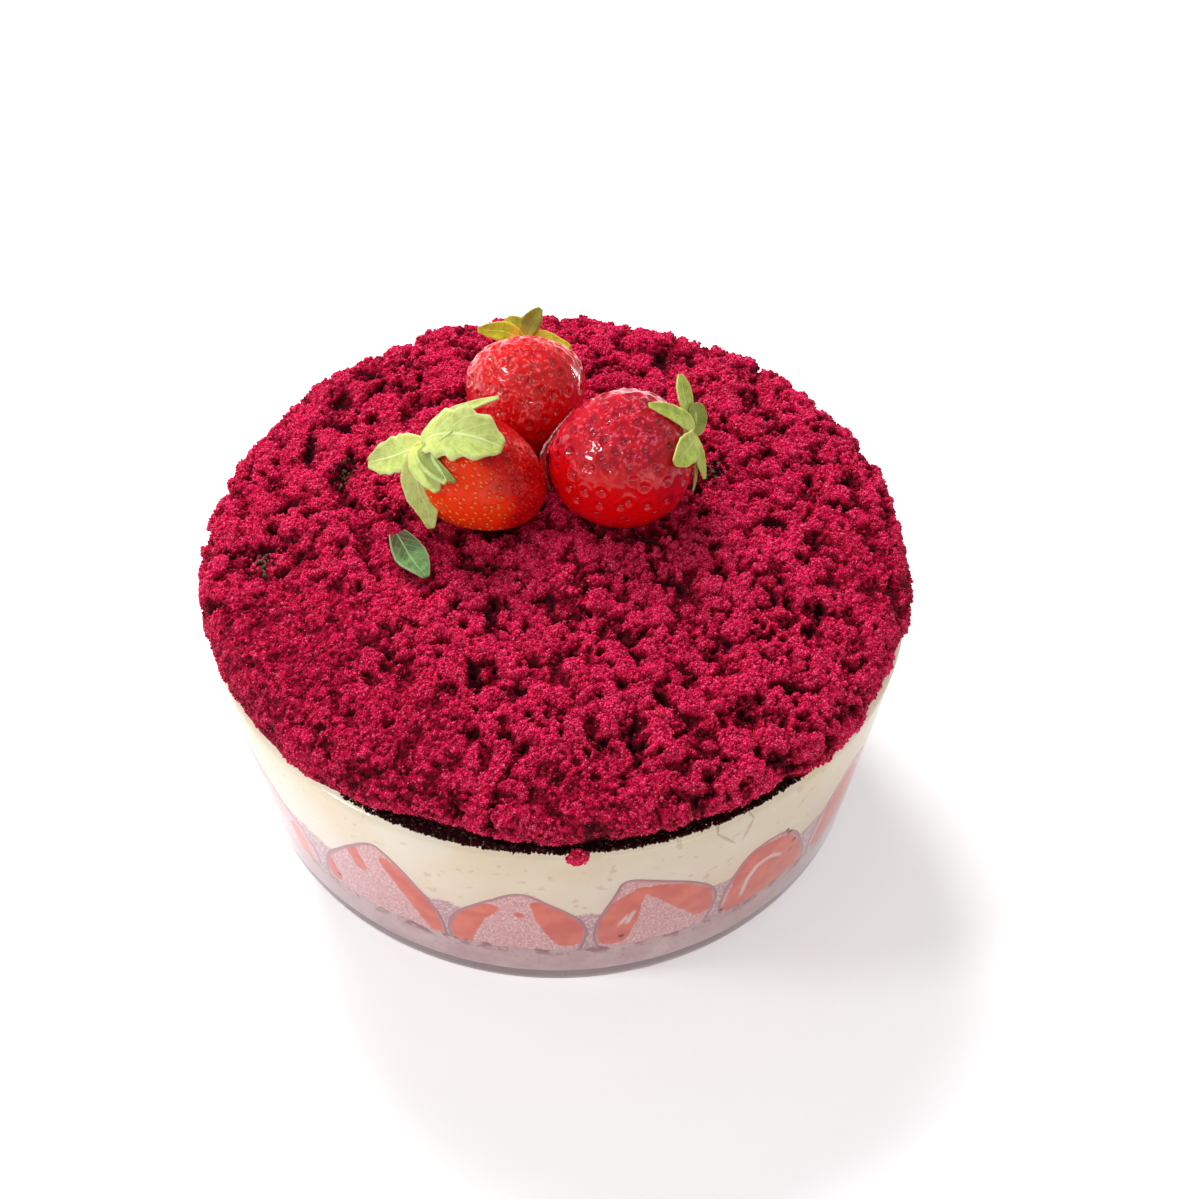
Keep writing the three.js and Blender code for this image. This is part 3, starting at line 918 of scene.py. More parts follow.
@dataclass
class SpongeBase:
    """The soaked sponge on the floor of the dish, with a ragged upper edge."""

    shape: DishShape
    finish: SoakedSpongeFinish = SoakedSpongeFinish()
    top: float = 18.3 * MM
    ragged: float = 1.3 * MM
    ragged_size: float = 3.2 * MM
    reach: float = 0.17 * MM
    segments: int = 512

    def build(self) -> Piece:
        """Builds the sponge, which reaches just into the glass."""
        shape = self.shape
        corner = shape.heel_arc(shape.inner, shape.floor, shape.inner_heel, 10, self.reach)
        upper = np.linspace(shape.floor + shape.inner_heel, self.top, 9)[1:]
        wall = [(shape.inner(z) + self.reach, z) for z in upper]
        shelf = [(shape.inner(self.top) - step * MM, self.top + 0.2 * MM) for step in (2, 6)]
        bm = spun([(0, shape.floor - self.reach), *corner, *wall, *shelf, (0, self.top)], self.segments)
        for vert in bm.verts:
            x, y, z = vert.co
            lift = float(smooth_step(0.75 * self.top, self.top, z))
            if lift > 0:
                spot = Vector((x, y, 0)) / self.ragged_size
                rise = lift * self.ragged * (noise.noise(spot) + 0.6 * noise.noise(spot * 2.7))
                radius = math.hypot(x, y)
                if radius > 1 * MM:
                    scale = 1 + rise * math.tan(shape.lean) / radius
                    vert.co = (x * scale, y * scale, z + rise)
        return finish_piece("soaked_sponge_base", bm, self.finish.material(), ["sponge_base"])


# ---- halved strawberries against the glass ----

Stroke = Sequence[Triple]


@dataclass(frozen=True)
class HalfBerry:
    """One halved strawberry that stands tip up with its cut face to the glass.

    Angles are in degrees round the dish, heights and radii in millimetres.

    Attributes:
        outline: Height, left angle and right angle, from the cut end to the tip.
        lobes: Strokes of coral flesh, each a line of angle, height and radius.
        veins: Thin white core lines, in the same form.
    """

    outline: Sequence[Triple]
    lobes: Sequence[Stroke]
    veins: Sequence[Stroke] = ()


SEEN_HALVES = (
    HalfBerry(
        (
            (17.5, -76, -47), (26, -77.2, -47.5), (31, -77.5, -50), (34, -77.3, -54.5),
            (38, -76.8, -57.4), (41.5, -76.2, -62.9), (45.8, -74.6, -66.2), (49, -72.6, -69),
            (50.5, -71, -71),
        ),
        (
            ((-62, 36, 1.5), (-66, 41.5, 1.2)),
            ((-53, 27, 2), (-51.5, 19, 2.4)),
        ),
    ),
    HalfBerry(
        (
            (17.5, -45.6, -19.7), (24, -45.3, -19.9), (31, -43.2, -21.4), (37.5, -39.4, -24.2),
            (43.5, -35.6, -27), (47, -33, -29.4), (48.3, -31, -31),
        ),
        (
            ((-36.8, 42.5, 1.9), (-35.2, 34.5, 1.6)),
            ((-44, 28, 1.6), (-43, 21, 1.8)),
            ((-29.2, 42, 2), (-25.6, 34, 3), (-22.8, 26, 2.9), (-21.6, 19, 1.6)),
        ),
    ),
    HalfBerry(
        (
            (17.5, -19, 4.2), (21, -19.5, 4.9), (26.5, -19, 5.6), (32, -16.8, 4.2), (36.5, -13.6, 1.4),
            (40, -10.6, -1.6), (42.6, -8.2, -3.8), (43.6, -6, -6),
        ),
        (
            ((-11.4, 35.4, 2.0), (-14.6, 31.8, 3.3), (-16.4, 25, 3.3), (-16.8, 19.5, 2.4)),
            ((-3.2, 38.8, 1.6), (-1.2, 34.2, 3.4), (1.2, 28.2, 4.6), (1.9, 23.4, 3.4)),
            ((-6.4, 34, 1), (-6.1, 33.6, 1)),
        ),
    ),
    HalfBerry(
        (
            (17.5, 7.2, 27.2), (23, 6.2, 28.5), (30, 6.6, 28.9), (35.5, 7.9, 26.8), (40.5, 9.2, 22.8),
            (44, 9.9, 18.4), (46.6, 10.4, 14.6), (47.8, 12, 12),
        ),
        (
            ((14, 41.8, 1.8), (11.6, 36.4, 3.5), (10.4, 29.4, 4.5), (9.9, 22.5, 3.4)),
            ((16.6, 41, 2.2), (20.4, 37, 3.6), (24.3, 31.4, 4.1), (26.2, 25.4, 2.6)),
        ),
        (
            ((12.2, 28.6, 0.5), (13.2, 33.2, 0.4)),
            ((10.8, 28, 0.4), (12, 31.4, 0.4)),
        ),
    ),
    HalfBerry(
        (
            (17.5, 30.4, 50.6), (23, 29.5, 50), (29, 30.2, 47.9), (34.5, 31.4, 46.2), (39, 32.8, 43.9),
            (41.6, 34.4, 41.6), (42.8, 37.5, 37.5),
        ),
        (((36.6, 37, 4.6), (38.4, 32, 8.6), (40, 24, 12)),),
        (((34.4, 22.6, 0.5), (35, 29, 0.7), (36.6, 33.2, 0.8), (39.6, 33.8, 0.7), (42.4, 30.6, 0.4)),),
    ),
    HalfBerry(
        (
            (17.5, 51.4, 71.8), (24, 51, 72), (31, 52, 70.4), (37, 54.4, 67.4), (41.5, 57.6, 64.4),
            (43.6, 61, 61),
        ),
        (((60.4, 36, 4), (60, 30, 7.6), (61, 22, 11)),),
    ),
)


# The rise from foot to tip and the width there, as a share of the largest.
HIDDEN_OUTLINE = ((0, 0.96), (0.25, 1), (0.5, 0.86), (0.7, 0.62), (0.85, 0.38), (0.95, 0.18), (1, 0))


@dataclass
class HalvedStrawberries:
    """The ring of halved strawberries round the inside of the glass."""

    shape: DishShape
    finish: CutFruitFinish = CutFruitFinish()
    hidden: int = 9
    foot: float = 17.5
    tip: float = 44.5
    tip_spread: float = 2.4
    gap: float = 0.3
    depth: float = 13.5 * MM
    reach: float = 0.11 * MM
    mid_height: float = 32 * MM
    ripe_edge: float = 0.9
    vein_edge: float = 0.35
    columns: int = 52
    rows: int = 44

    def hidden_halves(self, rng: Rng) -> list[HalfBerry]:
        """Carries the ring on round the back with halves of the same kind.

        Args:
            rng: The source of their differences.

        Returns:
            The halves that the front doesn't show.
        """
        start = SEEN_HALVES[-1].outline[1][2] + self.gap
        end = 360 + SEEN_HALVES[0].outline[1][1] - self.gap
        span = (end - start) / self.hidden
        halves = []
        for i in range(self.hidden):
            middle = start + span * (i + 0.5)
            half = span / 2 - 0.25
            tip = self.tip + self.tip_spread * math.sin(2.4 * i)
            lean = 0.2 * half * math.cos(1.9 * i)
            outline = []
            for rise, width in HIDDEN_OUTLINE:
                drift = middle + lean * max(0, rise - 0.3)
                height = self.foot + (tip - self.foot) * rise
                outline.append((height, drift - half * width, drift + half * width))
            wide = rng.uniform(0.7, 1.2)
            lobes = [
                (
                    (middle + side * 0.3 * half, tip - 8, 1.6),
                    (middle + side * 0.52 * half, tip - 14, 3.2 * wide),
                    (middle + side * 0.64 * half, 23, 3.0 * wide),
                )
                for side in (-1, 1)
            ]
            halves.append(HalfBerry(tuple(outline), tuple(lobes)))
        return halves

    def edges_at(self, half: HalfBerry, rise: Array) -> tuple[Array, Array, Array]:
        """Reads a half's outline, with its corners and its tip rounded.

        Args:
            half: The half.
            rise: From 0 at the cut end to 1 at the tip, in even steps of its width.

        Returns:
            The heights in millimetres and the left and right angles in degrees.
        """
        heights, left, right = np.array(half.outline).T
        # The root of the way left makes a blunt tip out of the last straight stretch.
        way = np.sqrt(1 - (heights - heights[0]) / (heights[-1] - heights[0]))
        fine = np.linspace(0, 1, 241)
        reach = 17
        window = np.hanning(2 * reach + 1)
        soften = window / window.sum()
        edges = []
        for edge in (left, right):
            line = np.interp(fine, way[::-1], edge[::-1])
            before = 2 * line[0] - line[reach:0:-1]
            after = 2 * line[-1] - line[-2 : -2 - reach : -1]
            padded = np.concatenate([before, line, after])
            edges.append(np.interp(1 - rise, fine, np.convolve(padded, soften, "valid")))
        height = heights[0] + (heights[-1] - heights[0]) * (1 - (1 - rise) ** 2)
        return height, edges[0], edges[1]

    def face_place(self, half: HalfBerry, across: Array, rise: Array) -> tuple[Array, Array]:
        """Finds where points of the cut face lie on the unrolled wall.

        Args:
            half: The half.
            across: From -1 on the left edge to 1 on the right.
            rise: From 0 at the cut end to 1 at the tip.

        Returns:
            The points' angles in degrees and heights in millimetres.
        """
        height, low, high = self.edges_at(half, rise)
        return (low + high) / 2 + across * (high - low) / 2, height

    def face_numbers(self, half: HalfBerry, angles: Array, heights: Array) -> dict[str, Array]:
        """Works out the numbers that the finish reads on a cut face.

        Args:
            half: The half.
            angles: The points' angles, in degrees.
            heights: The points' heights, in millimetres.

        Returns:
            For each attribute's name, its value at each point.
        """
        arc = math.radians(1) * self.shape.inner(self.mid_height) / MM
        spots = np.column_stack([angles * arc, heights])

        def closeness(strokes: Iterable[Stroke], softness: float) -> Array:
            """Gives 1 inside any stroke and 0 beyond its soft edge."""
            best = np.zeros(len(spots))
            for stroke in strokes:
                path = np.array(stroke, float) * (arc, 1, 1)
                gap, radius = distance_to_path(spots, path)
                best = np.maximum(best, 1 - smooth_step(-softness, softness, gap - radius))
            return best

        height, low, high = self.edges_at(half, np.linspace(0, 1, 40))
        sides = [np.column_stack([edge * arc, height]) for edge in (low, high)]
        skin, _ = distance_to_path(spots, np.vstack([sides[0], sides[1][::-1]]))
        return {
            "ripe": closeness(half.lobes, self.ripe_edge),
            "vein": closeness(half.veins, self.vein_edge),
            "skin": skin,
        }

    def half_mesh(self, half: HalfBerry) -> Shape:
        """Builds one half as a closed solid: cut face, rounded back, flat end.

        Args:
            half: The half.

        Returns:
            Its shape in the frame's axes.
        """
        bm = bmesh.new()
        layers = {name: bm.verts.layers.float.new(name) for name in ("ripe", "vein", "skin")}
        bmesh.ops.create_grid(bm, x_segments=self.columns, y_segments=self.rows, size=1)
        face = list(bm.verts)
        across = np.array([v.co.x for v in face])
        rise = np.array([(v.co.y + 1) / 2 for v in face])
        angles, heights = self.face_place(half, across, rise)
        numbers = self.face_numbers(half, angles, heights)
        for name, values in numbers.items():
            fill_layer(face, layers[name], values)
        spans = {v.index: (a, z, u, r) for v, a, z, u, r in zip(face, angles, heights, across, rise)}
        back = bmesh.ops.duplicate(bm, geom=bm.verts[:] + bm.edges[:] + bm.faces[:])
        behind = {v: back["vert_map"][v] for v in face}
        for vert in face:
            angle, height, u, r = spans[vert.index]
            vert.co = self.shape.on_wall(angle, height * MM, self.reach)
            bulge = self.depth * math.sqrt(max(0, 1 - u * u)) * (1 - r**3) ** 0.5
            behind[vert].co = self.shape.on_wall(angle, height * MM, self.reach - bulge)
        bmesh.ops.reverse_faces(bm, faces=[f for f in back["geom"] if isinstance(f, bmesh.types.BMFace)])
        bmesh.ops.remove_doubles(bm, verts=bm.verts, dist=1e-6)
        bmesh.ops.holes_fill(bm, edges=[e for e in bm.edges if e.is_boundary], sides=0)
        bmesh.ops.recalc_face_normals(bm, faces=bm.faces)
        return bm

    def build(self, rng: Rng) -> list[Piece]:
        """Builds every half, the seen ones first.

        Args:
            rng: The source of the hidden halves' differences.

        Returns:
            The pieces.
        """
        material = self.finish.material()
        halves = [*SEEN_HALVES, *self.hidden_halves(rng)]
        return [
            finish_piece(
                f"cut_strawberry_{i:02d}",
                self.half_mesh(half),
                material,
                [f"berry_half_{i:02d}"],
            )
            for i, half in enumerate(halves, 1)
        ]


# ---- the crumb ----


def bezier(points: Sequence[tuple[float, float]], steps: int) -> Array:
    """Samples a cubic curve.

    Args:
        points: Its four control points.
        steps: How many stretches it is cut into.

    Returns:
        The places along it, one more than steps.
    """
    t = np.linspace(0, 1, steps + 1)[:, None]
    a, b, c, d = np.array(points, float)
    return (1 - t) ** 3 * a + 3 * (1 - t) ** 2 * t * b + 3 * (1 - t) * t**2 * c + t**3 * d


@dataclass(frozen=True)
class CrumbZone:
    """A round zone of the crumb that is pressed smoother than the rest."""

    x: float
    y: float
    radius: float
    calm: float

    def smoothing(self, spots: Array) -> Array:
        """Gives how calm the zone makes each place, from 0 to its own value."""
        away = np.hypot(spots[:, 0] - self.x, spots[:, 1] - self.y) / self.radius
        return self.calm * (1 - smooth_step(0.35, 1.0, away))


@dataclass
class CrumbTop:
    """The domed layer of velvet crumb: a rough core with grains and clumps on it.

    Attributes:
        shoulder: The radius and height where the dome turns down.
        reach_limit: How far out nothing of it goes.
        tuck: How far its lower edge draws in behind the lip in front.
        clump_size: The mean size of its clumps in millimetres, as the next sizes are.
        bend_size: How fine the clumps' borders wander.
        pit_share: How many of the knobs are pits instead.
        hem_from: Where the relief fades to the lower edge, as a share of the outline.
        damp_shade_below: How far above the base the darkening of the crumb behind the lip, painted shade
            and partly dampness, fades out.
        cells: How many cells a quarter's grid has each way.
    """

    finish: VelvetCrumbFinish = VelvetCrumbFinish()
    base: float = 62.3 * MM
    apex: float = 79.2 * MM
    shoulder: tuple[float, float] = (73.4 * MM, 74.0 * MM)
    radius: float = 79.7 * MM
    reach_limit: float = 81.1 * MM
    tuck: float = 3.2 * MM
    tuck_from: float = math.radians(-43)
    tuck_to: float = math.radians(50)
    clump_size: float = 4.4
    knob_size: float = 2.1
    bead_size: float = 0.95
    bend_size: float = 2.9
    hollow_depth: float = 1.6
    pit_depth: float = 2.4
    pit_share: float = 0.055
    hem_from: float = 0.965
    damp_shade_below: tuple[float, float] = (1.6 * MM, 3.2 * MM)
    cells: int = 292
    zones: tuple[CrumbZone, ...] = (
        CrumbZone(-60 * MM, -34 * MM, 30 * MM, 0.8),
        CrumbZone(-36 * MM, -62 * MM, 30 * MM, 0.6),
        CrumbZone(8 * MM, -84 * MM, 32 * MM, 0.65),
        CrumbZone(78 * MM, -10 * MM, 26 * MM, 0.5),
        CrumbZone(-33 * MM, -8 * MM, 14 * MM, 0.45),
    )

    def outline(self) -> tuple[Array, Array]:
        """Gives the mean outline from the middle to the lower edge, and its outward normals."""
        (reach, height), lift = self.shoulder, 3 * MM
        dome = bezier([(0, self.apex), (28 * MM, self.apex), (56 * MM, height + lift), (reach, height)], 60)
        brow = bezier(
            [
                (reach, height),
                (reach + 5 * MM, height - 1.5 * MM),
                (self.radius, height - 4 * MM),
                (self.radius, self.base + lift),
            ],
            40,
        )
        hem = np.array([(self.radius - 0.7 * MM, self.base)])
        line = np.vstack([dome, brow[1:], hem])
        along = np.gradient(line, axis=0)
        normals = np.column_stack([-along[:, 1], along[:, 0]])
        return line, normals / np.linalg.norm(normals, axis=1)[:, None]

    def tucked(self, angles: Array, heights: Array) -> Array:
        """Gives how far the lower edge draws in behind the dish's lip in front.

        Args:
            angles: Places round the dish, from the front towards +X.
            heights: Their heights.

        Returns:
            The distance at each place.
        """
        ends = smooth_step(self.tuck_from, self.tuck_from + 0.3, angles)
        ends *= 1 - smooth_step(self.tuck_to - 0.3, self.tuck_to, angles)
        low = 1 - smooth_step(self.base + 0.5 * MM, self.base + 7 * MM, heights)
        return self.tuck * ends * low

    def relief(self, spots: Array) -> tuple[Array, Array]:
        """Works out the crumb's relief at places on its mean surface.

        Args:
            spots: The places, in metres.

        Returns:
            The heights above the mean surface in metres, and shade tones from 0 in a pit
            to 1 on a clump: painted shade in pits, hollows, crevices and calm zones, painted light on
                clumps.
        """
        calm = np.max([zone.smoothing(spots) for zone in self.zones], axis=0)
        rough = 1 - calm
        mm = spots / MM
        bend = np.column_stack([soft_noise(mm, self.bend_size, 40 + axis) for axis in range(3)])
        clump, clump_level = lumps(mm + 0.9 * bend, self.clump_size, 10)
        knob, knob_level = lumps(mm + 0.9 * bend, self.knob_size, 20)
        bead, bead_level = lumps(mm + 0.3 * bend, self.bead_size, 30)
        swell = 1.3 * soft_noise(mm, 13, 50) + 0.4 * soft_noise(mm, 6, 51)
        hollow = smooth_step(0.05, 0.7, soft_noise(mm, 3.6, 52) + 0.6 * soft_noise(mm, 1.7, 53))
        pit = (knob_level < self.pit_share) * (1 - smooth_step(0.25, 0.62, knob))
        crevice = smooth_step(0.52, 0.82, clump)
        shape = 0.9 * (clump_level - 0.5) + 0.7 * (0.3 - clump**2) - 0.8 * crevice
        shape += 0.5 * (knob_level - 0.5) + 0.5 * (0.3 - knob**2)
        beads = 0.55 * (0.35 - bead**2) + 0.35 * (bead_level - 0.5)
        large = (shape - self.hollow_depth * hollow - self.pit_depth * pit) * (0.2 + 0.8 * rough)
        height = (large + swell + beads * (0.75 + 0.25 * rough)) * MM
        # Painted shade and light: darker in hollows, pits, crevices and calm zones, lighter on raised
        # clumps; the beads vary it at random.
        shade_tone = 0.63 - 0.24 * calm + rough * (0.12 * shape - 0.4 * hollow - 0.5 * pit - 0.22 * crevice)
        shade_tone += 0.15 * beads + 0.28 * (bead_level - 0.5)
        return height, np.clip(shade_tone, 0, 1.2)

    def quarter(self, turn: int, material: Material) -> Piece:
        """Builds a quarter of the rough core from a grid that is wrapped over the dome.

        Args:
            turn: Which quarter, counted anticlockwise from +X.
            material: The crumb's finish.

        Returns:
            The piece, with its shade tone at each point.
        """
        line, normals = self.outline()
        steps = np.concatenate([[0], np.cumsum(np.linalg.norm(np.diff(line, axis=0), axis=1))])
        bm = bmesh.new()
        shade_tone_layer = bm.verts.layers.float.new("shade_tone")
        bmesh.ops.create_grid(bm, x_segments=self.cells, y_segments=self.cells, size=0.5)
        flat = np.array([v.co for v in bm.verts])[:, :2] + 0.5
        # Squares of the grid become rings of the dome, so that its cells stay alike.
        share = flat.max(axis=1)
        ratio = flat.min(axis=1) / np.maximum(share, 1e-9)
        angle = np.where(flat[:, 0] >= flat[:, 1], ratio * math.pi / 4, math.pi / 2 - ratio * math.pi / 4)
        angle += turn * math.pi / 2
        where = share * steps[-1]
        radius, height = (np.interp(where, steps, line[:, i]) for i in (0, 1))
        out, up = (np.interp(where, steps, normals[:, i]) for i in (0, 1))
        from_front = (angle + math.pi / 2 + math.pi) % FULL_TURN - math.pi
        radius -= self.tucked(from_front, height)
        spots = np.column_stack([radius * np.cos(angle), radius * np.sin(angle), height])
        rise, shade_tone = self.relief(spots)
        rise *= 1 - 0.75 * smooth_step(self.hem_from, 1.0, share)
        reach = np.minimum(radius + out * rise, self.reach_limit)
        level = np.maximum(height + up * rise, self.base)
        in_front = self.tucked(from_front, level) / self.tuck
        # Painted shade, partly dampness: the lower edge behind the lip in front is darkened.
        shade_tone *= 1 - in_front * (1 - smooth_step(*self.damp_shade_below, level - self.base))
        places = np.column_stack([reach * np.cos(angle), reach * np.sin(angle), level])
        for vert, place in zip(bm.verts, places.tolist()):
            vert.co = place
        fill_layer(bm.verts, shade_tone_layer, shade_tone)
        self.close_below(bm)
        return finish_piece(f"crumb_core_{turn + 1}", bm, material, ["crumb"])

    def close_below(self, bm: Shape) -> None:
        """Closes a quarter of the core with upright sides and a flat underside."""
        rim = [e for e in bm.edges if e.is_boundary]
        for edge in rim:
            edge.smooth = False
        sides = bmesh.ops.extrude_edge_only(bm, edges=rim)
        for vert in (v for v in sides["geom"] if isinstance(v, bmesh.types.BMVert)):
            inwards = 0.97 if math.hypot(vert.co.x, vert.co.y) > self.shoulder[0] else 1.0
            vert.co = (vert.co.x * inwards, vert.co.y * inwards, self.base)
        bmesh.ops.holes_fill(bm, edges=[e for e in bm.edges if e.is_boundary], sides=0)
        bmesh.ops.recalc_face_normals(bm, faces=bm.faces)

    def sites(self, quarters: Sequence[Piece]) -> tuple[Array, Array, Array]:
        """Reads the places where grains can lie.

        Args:
            quarters: The quarters of the rough core.

        Returns:
            Their points above the lower edge, the normals there and the shade tones.
        """
        rows = []
        for quarter in quarters:
            mesh = quarter.data
            count = len(mesh.vertices)
            places, normals = np.empty(count * 3, np.float32), np.empty(count * 3, np.float32)
            shade_tones = np.empty(count, np.float32)
            mesh.vertices.foreach_get("co", places)
            mesh.vertex_normals.foreach_get("vector", normals)
            mesh.attributes["shade_tone"].data.foreach_get("value", shade_tones)
            rows.append(np.column_stack([places.reshape(-1, 3), normals.reshape(-1, 3), shade_tones]))
        table = np.vstack(rows)
        table = table[table[:, 2] > self.base + 1.0 * MM]
        return table[:, :3], table[:, 3:6], table[:, 6]


@dataclass
class Grains:
    """Many small irregular grains of one kind, joined into one piece.

    Attributes:
        name: The piece's name.
        count: How many grains there are.
        size: The least and the largest width.
        sunk: How much of a grain lies under the surface.
        shade_tone: How much lighter a grain's shade tone is than the surface's below it.
        spread: The least and the largest difference between grains.
        fine: Whether a few faces are enough for a grain.
        kinds: How many different grains there are.
    """

    name: str
    count: int
    size: tuple[float, float]
    sunk: float
    shade_tone: float = 0.0
    spread: tuple[float, float] = (-0.12, 0.2)
    fine: bool = False
    kinds: int = 12

    def templates(self, rng: Rng) -> tuple[Array, Array]:
        """Makes a few uneven grains of unit radius.

        Args:
            rng: The source of their unevenness.

        Returns:
            Their points, and the faces that they share.
        """
        bm = bmesh.new()
        if self.fine:
            bmesh.ops.create_uvsphere(bm, u_segments=4, v_segments=2, radius=1)
        else:
            bmesh.ops.create_icosphere(bm, subdivisions=1, radius=1)
        points = np.array([v.co for v in bm.verts])
        faces = np.array([[v.index for v in f.verts] for f in bm.faces])
        bm.free()
        swell = rng.uniform(0.72, 1.25, (self.kinds, len(points), 1))
        return points[None] * swell, faces

    def build(
        self,
        places: Array,
        normals: Array,
        shade_tones: Array,
        material: Material,
        rng: Rng,
    ) -> Piece:
        """Lays the grains at places.

        Args:
            places: The grains' places on the surface.
            normals: The surface's normals there.
            shade_tones: The surface's shade tones there.
            material: Their finish.
            rng: The source of sizes and turns.

        Returns:
            The joined piece.
        """
        shapes, faces = self.templates(rng)
        count = len(places)
        radius = rng.uniform(*self.size, count) / 2
        stretch = rng.uniform(0.75, 1.3, (count, 1, 3))
        kinds = rng.integers(0, len(shapes), count)
        turns = random_turns(count, rng)
        points = np.einsum("nij,nkj->nki", turns, shapes[kinds] * stretch) * radius[:, None, None]
        centres = places + normals * (radius * (1 - 2 * self.sunk))[:, None]
        points += centres[:, None]
        offsets = (np.arange(count) * points.shape[1])[:, None, None]
        mesh = bpy.data.meshes.new(self.name)
        mesh.from_pydata(points.reshape(-1, 3), [], (faces[None] + offsets).reshape(-1, faces.shape[1]))
        shade = shade_tones + self.shade_tone + rng.uniform(*self.spread, count)
        add_tone(mesh, "shade_tone", np.repeat(shade, points.shape[1]))
        return finish_piece(self.name, mesh, material)


def random_turns(count: int, rng: Rng) -> Array:
    """Draws rotations at random.

    Args:
        count: How many.
        rng: The source.

    Returns:
        A count by 3 by 3 array.
    """
    quaternions = rng.normal(size=(4, count))
    w, x, y, z = quaternions / np.linalg.norm(quaternions, axis=0)
    rows = [
        [1 - 2 * (y * y + z * z), 2 * (x * y - w * z), 2 * (x * z + w * y)],
        [2 * (x * y + w * z), 1 - 2 * (x * x + z * z), 2 * (y * z - w * x)],
        [2 * (x * z - w * y), 2 * (y * z + w * x), 1 - 2 * (x * x + y * y)],
    ]
    return np.moveaxis(np.array(rows), 2, 0)


@dataclass
class StrayCrumbs:
    """Crumbs off the cake: on the dish's lip, in a fallen clump, on the wall and on top.

    Angles are in degrees round the dish, other sizes in millimetres.

    Attributes:
        shape: The dish.
        lip_span: Where the damp, shade-dark crumbs on the lip start and end.
        lip_width: How far inwards of the lip's crest they start and end.
        lip_count: How many of those there are.
        clump: The middle of the clump that hangs over the lip.
        clump_half: Half its sizes.
        on_wall: Angle, height and size of the crumbs between the cream and the glass.
        scraps: Where the dark scraps, painted shade of pits, lie on the crumb, and how wide each patch is.
        clump_count: How many crumbs the clump has.
        specks_each: How many each of the crumbs on the wall has.
        scraps_each: How many grains each patch of those scraps has.
    """

    shape: DishShape
    # Near-black damp crumb, partly painted shade: it stands for the shaded band under the crumb's front
    # edge and for pits in shade.
    damp_shade: VelvetCrumbFinish = VelvetCrumbFinish(
        "damp_shade_crumb",
        pit=srgb(32, 4, 8), shade=srgb(60, 8, 18), body=srgb(80, 12, 30), lit=srgb(104, 96, 64),
        speck_and_glint=srgb(150, 70, 84),
        fuzz=0.0,
    )
    lip_span: tuple[float, float] = (-36, 47)
    lip_width: tuple[float, float] = (-0.5, 3.6)
    lip_count: int = 5600
    clump: Triple = (4.4, -80.3, 62.9)
    clump_half: Triple = (2.3, 1.1, 2.2)
    on_wall: tuple[Triple, ...] = (
        (41.8, 41.2, 1.1), (42.8, 39.6, 0.9), (45.1, 33.5, 0.7), (44.9, 29.5, 0.6), (30.6, 20.0, 0.9),
        (11.3, 22.4, 0.8), (-42.2, 22.3, 0.9),
    )
    scraps: tuple[Triple, ...] = (
        (-49.2, 19.8, 2.2), (-36.0, 25.4, 1.8), (-65.3, -7.8, 1.9), (35.8, 18.4, 2.0),
    )
    clump_count: int = 170
    specks_each: int = 6
    scraps_each: int = 70

    def lay_on_lip(self, material: Material, rng: Rng) -> None:
        """Lays the damp, near-black crumbs on the lip's rounded top, thinner at both ends; their darkness
        is partly painted shade of the band under the crumb's front edge.

        Args:
            material: Their finish.
            rng: The source of the scatter.
        """
        lip = self.shape.wall / 2
        height = self.shape.height - lip
        radius = self.shape.outer(height) - lip
        share = rng.uniform(0, 1, self.lip_count)
        thick = smooth_step(0, 0.2, share) * (1 - smooth_step(0.8, 1, share))
        share = share[rng.uniform(0, 1, self.lip_count) < 0.2 + 0.8 * thick]
        start, end = (math.radians(angle) for angle in self.lip_span)
        angle = start + (end - start) * share
        ends = smooth_step(-0.2, 0.3, share) * (1 - smooth_step(0.7, 1.2, share))
        inwards = rng.uniform(*self.lip_width, len(share)) * ends * MM
        tilt = np.arccos(np.clip(-inwards / lip, 0, 1))
        out = np.column_stack([np.sin(angle), -np.cos(angle), np.zeros(len(share))])
        normals = out * np.cos(tilt)[:, None] + np.array([0, 0, 1]) * np.sin(tilt)[:, None]
        places = out * (radius - np.maximum(inwards, 0))[:, None] + np.array([0, 0, height]) + normals * lip
        shade_tones = rng.choice([0.1, 0.42, 0.95], len(share), p=[0.74, 0.18, 0.08])
        Grains("lip_crumbs", self.lip_count, (0.6 * MM, 1.2 * MM), 0.4, fine=True).build(
            places, normals, shade_tones, material, rng
        )

    def lay_clump(self, material: Material, rng: Rng) -> None:
        """Builds the fallen clump and the crumbs on the wall.

        Args:
            material: Their finish.
            rng: The source of the scatter.
        """
        ways = rng.normal(size=(self.clump_count, 3))
        ways /= np.linalg.norm(ways, axis=1)[:, None]
        depth = rng.uniform(0.35, 1, (len(ways), 1))
        clump = (np.array(self.clump) + ways * depth * np.array(self.clump_half)) * MM
        spots = [self.shape.on_wall(angle, height * MM, 0) for angle, height, _ in self.on_wall]
        sizes = [size * MM / 4 for _, _, size in self.on_wall]
        specks = np.repeat(np.array(spots), self.specks_each, axis=0)
        specks += rng.normal(size=specks.shape) * np.repeat(sizes, self.specks_each)[:, None]
        inwards = specks * np.array([-1, -1, 0])
        inwards /= np.linalg.norm(inwards, axis=1)[:, None]
        places = np.vstack([clump, specks])
        normals = np.vstack([ways, inwards])
        shade_tones = np.concatenate([np.full(len(ways), 0.62), np.full(len(specks), 0.4)])
        Grains("fallen_crumbs", len(places), (0.7 * MM, 1.2 * MM), 0.5).build(
            places, normals, shade_tones, material, rng
        )

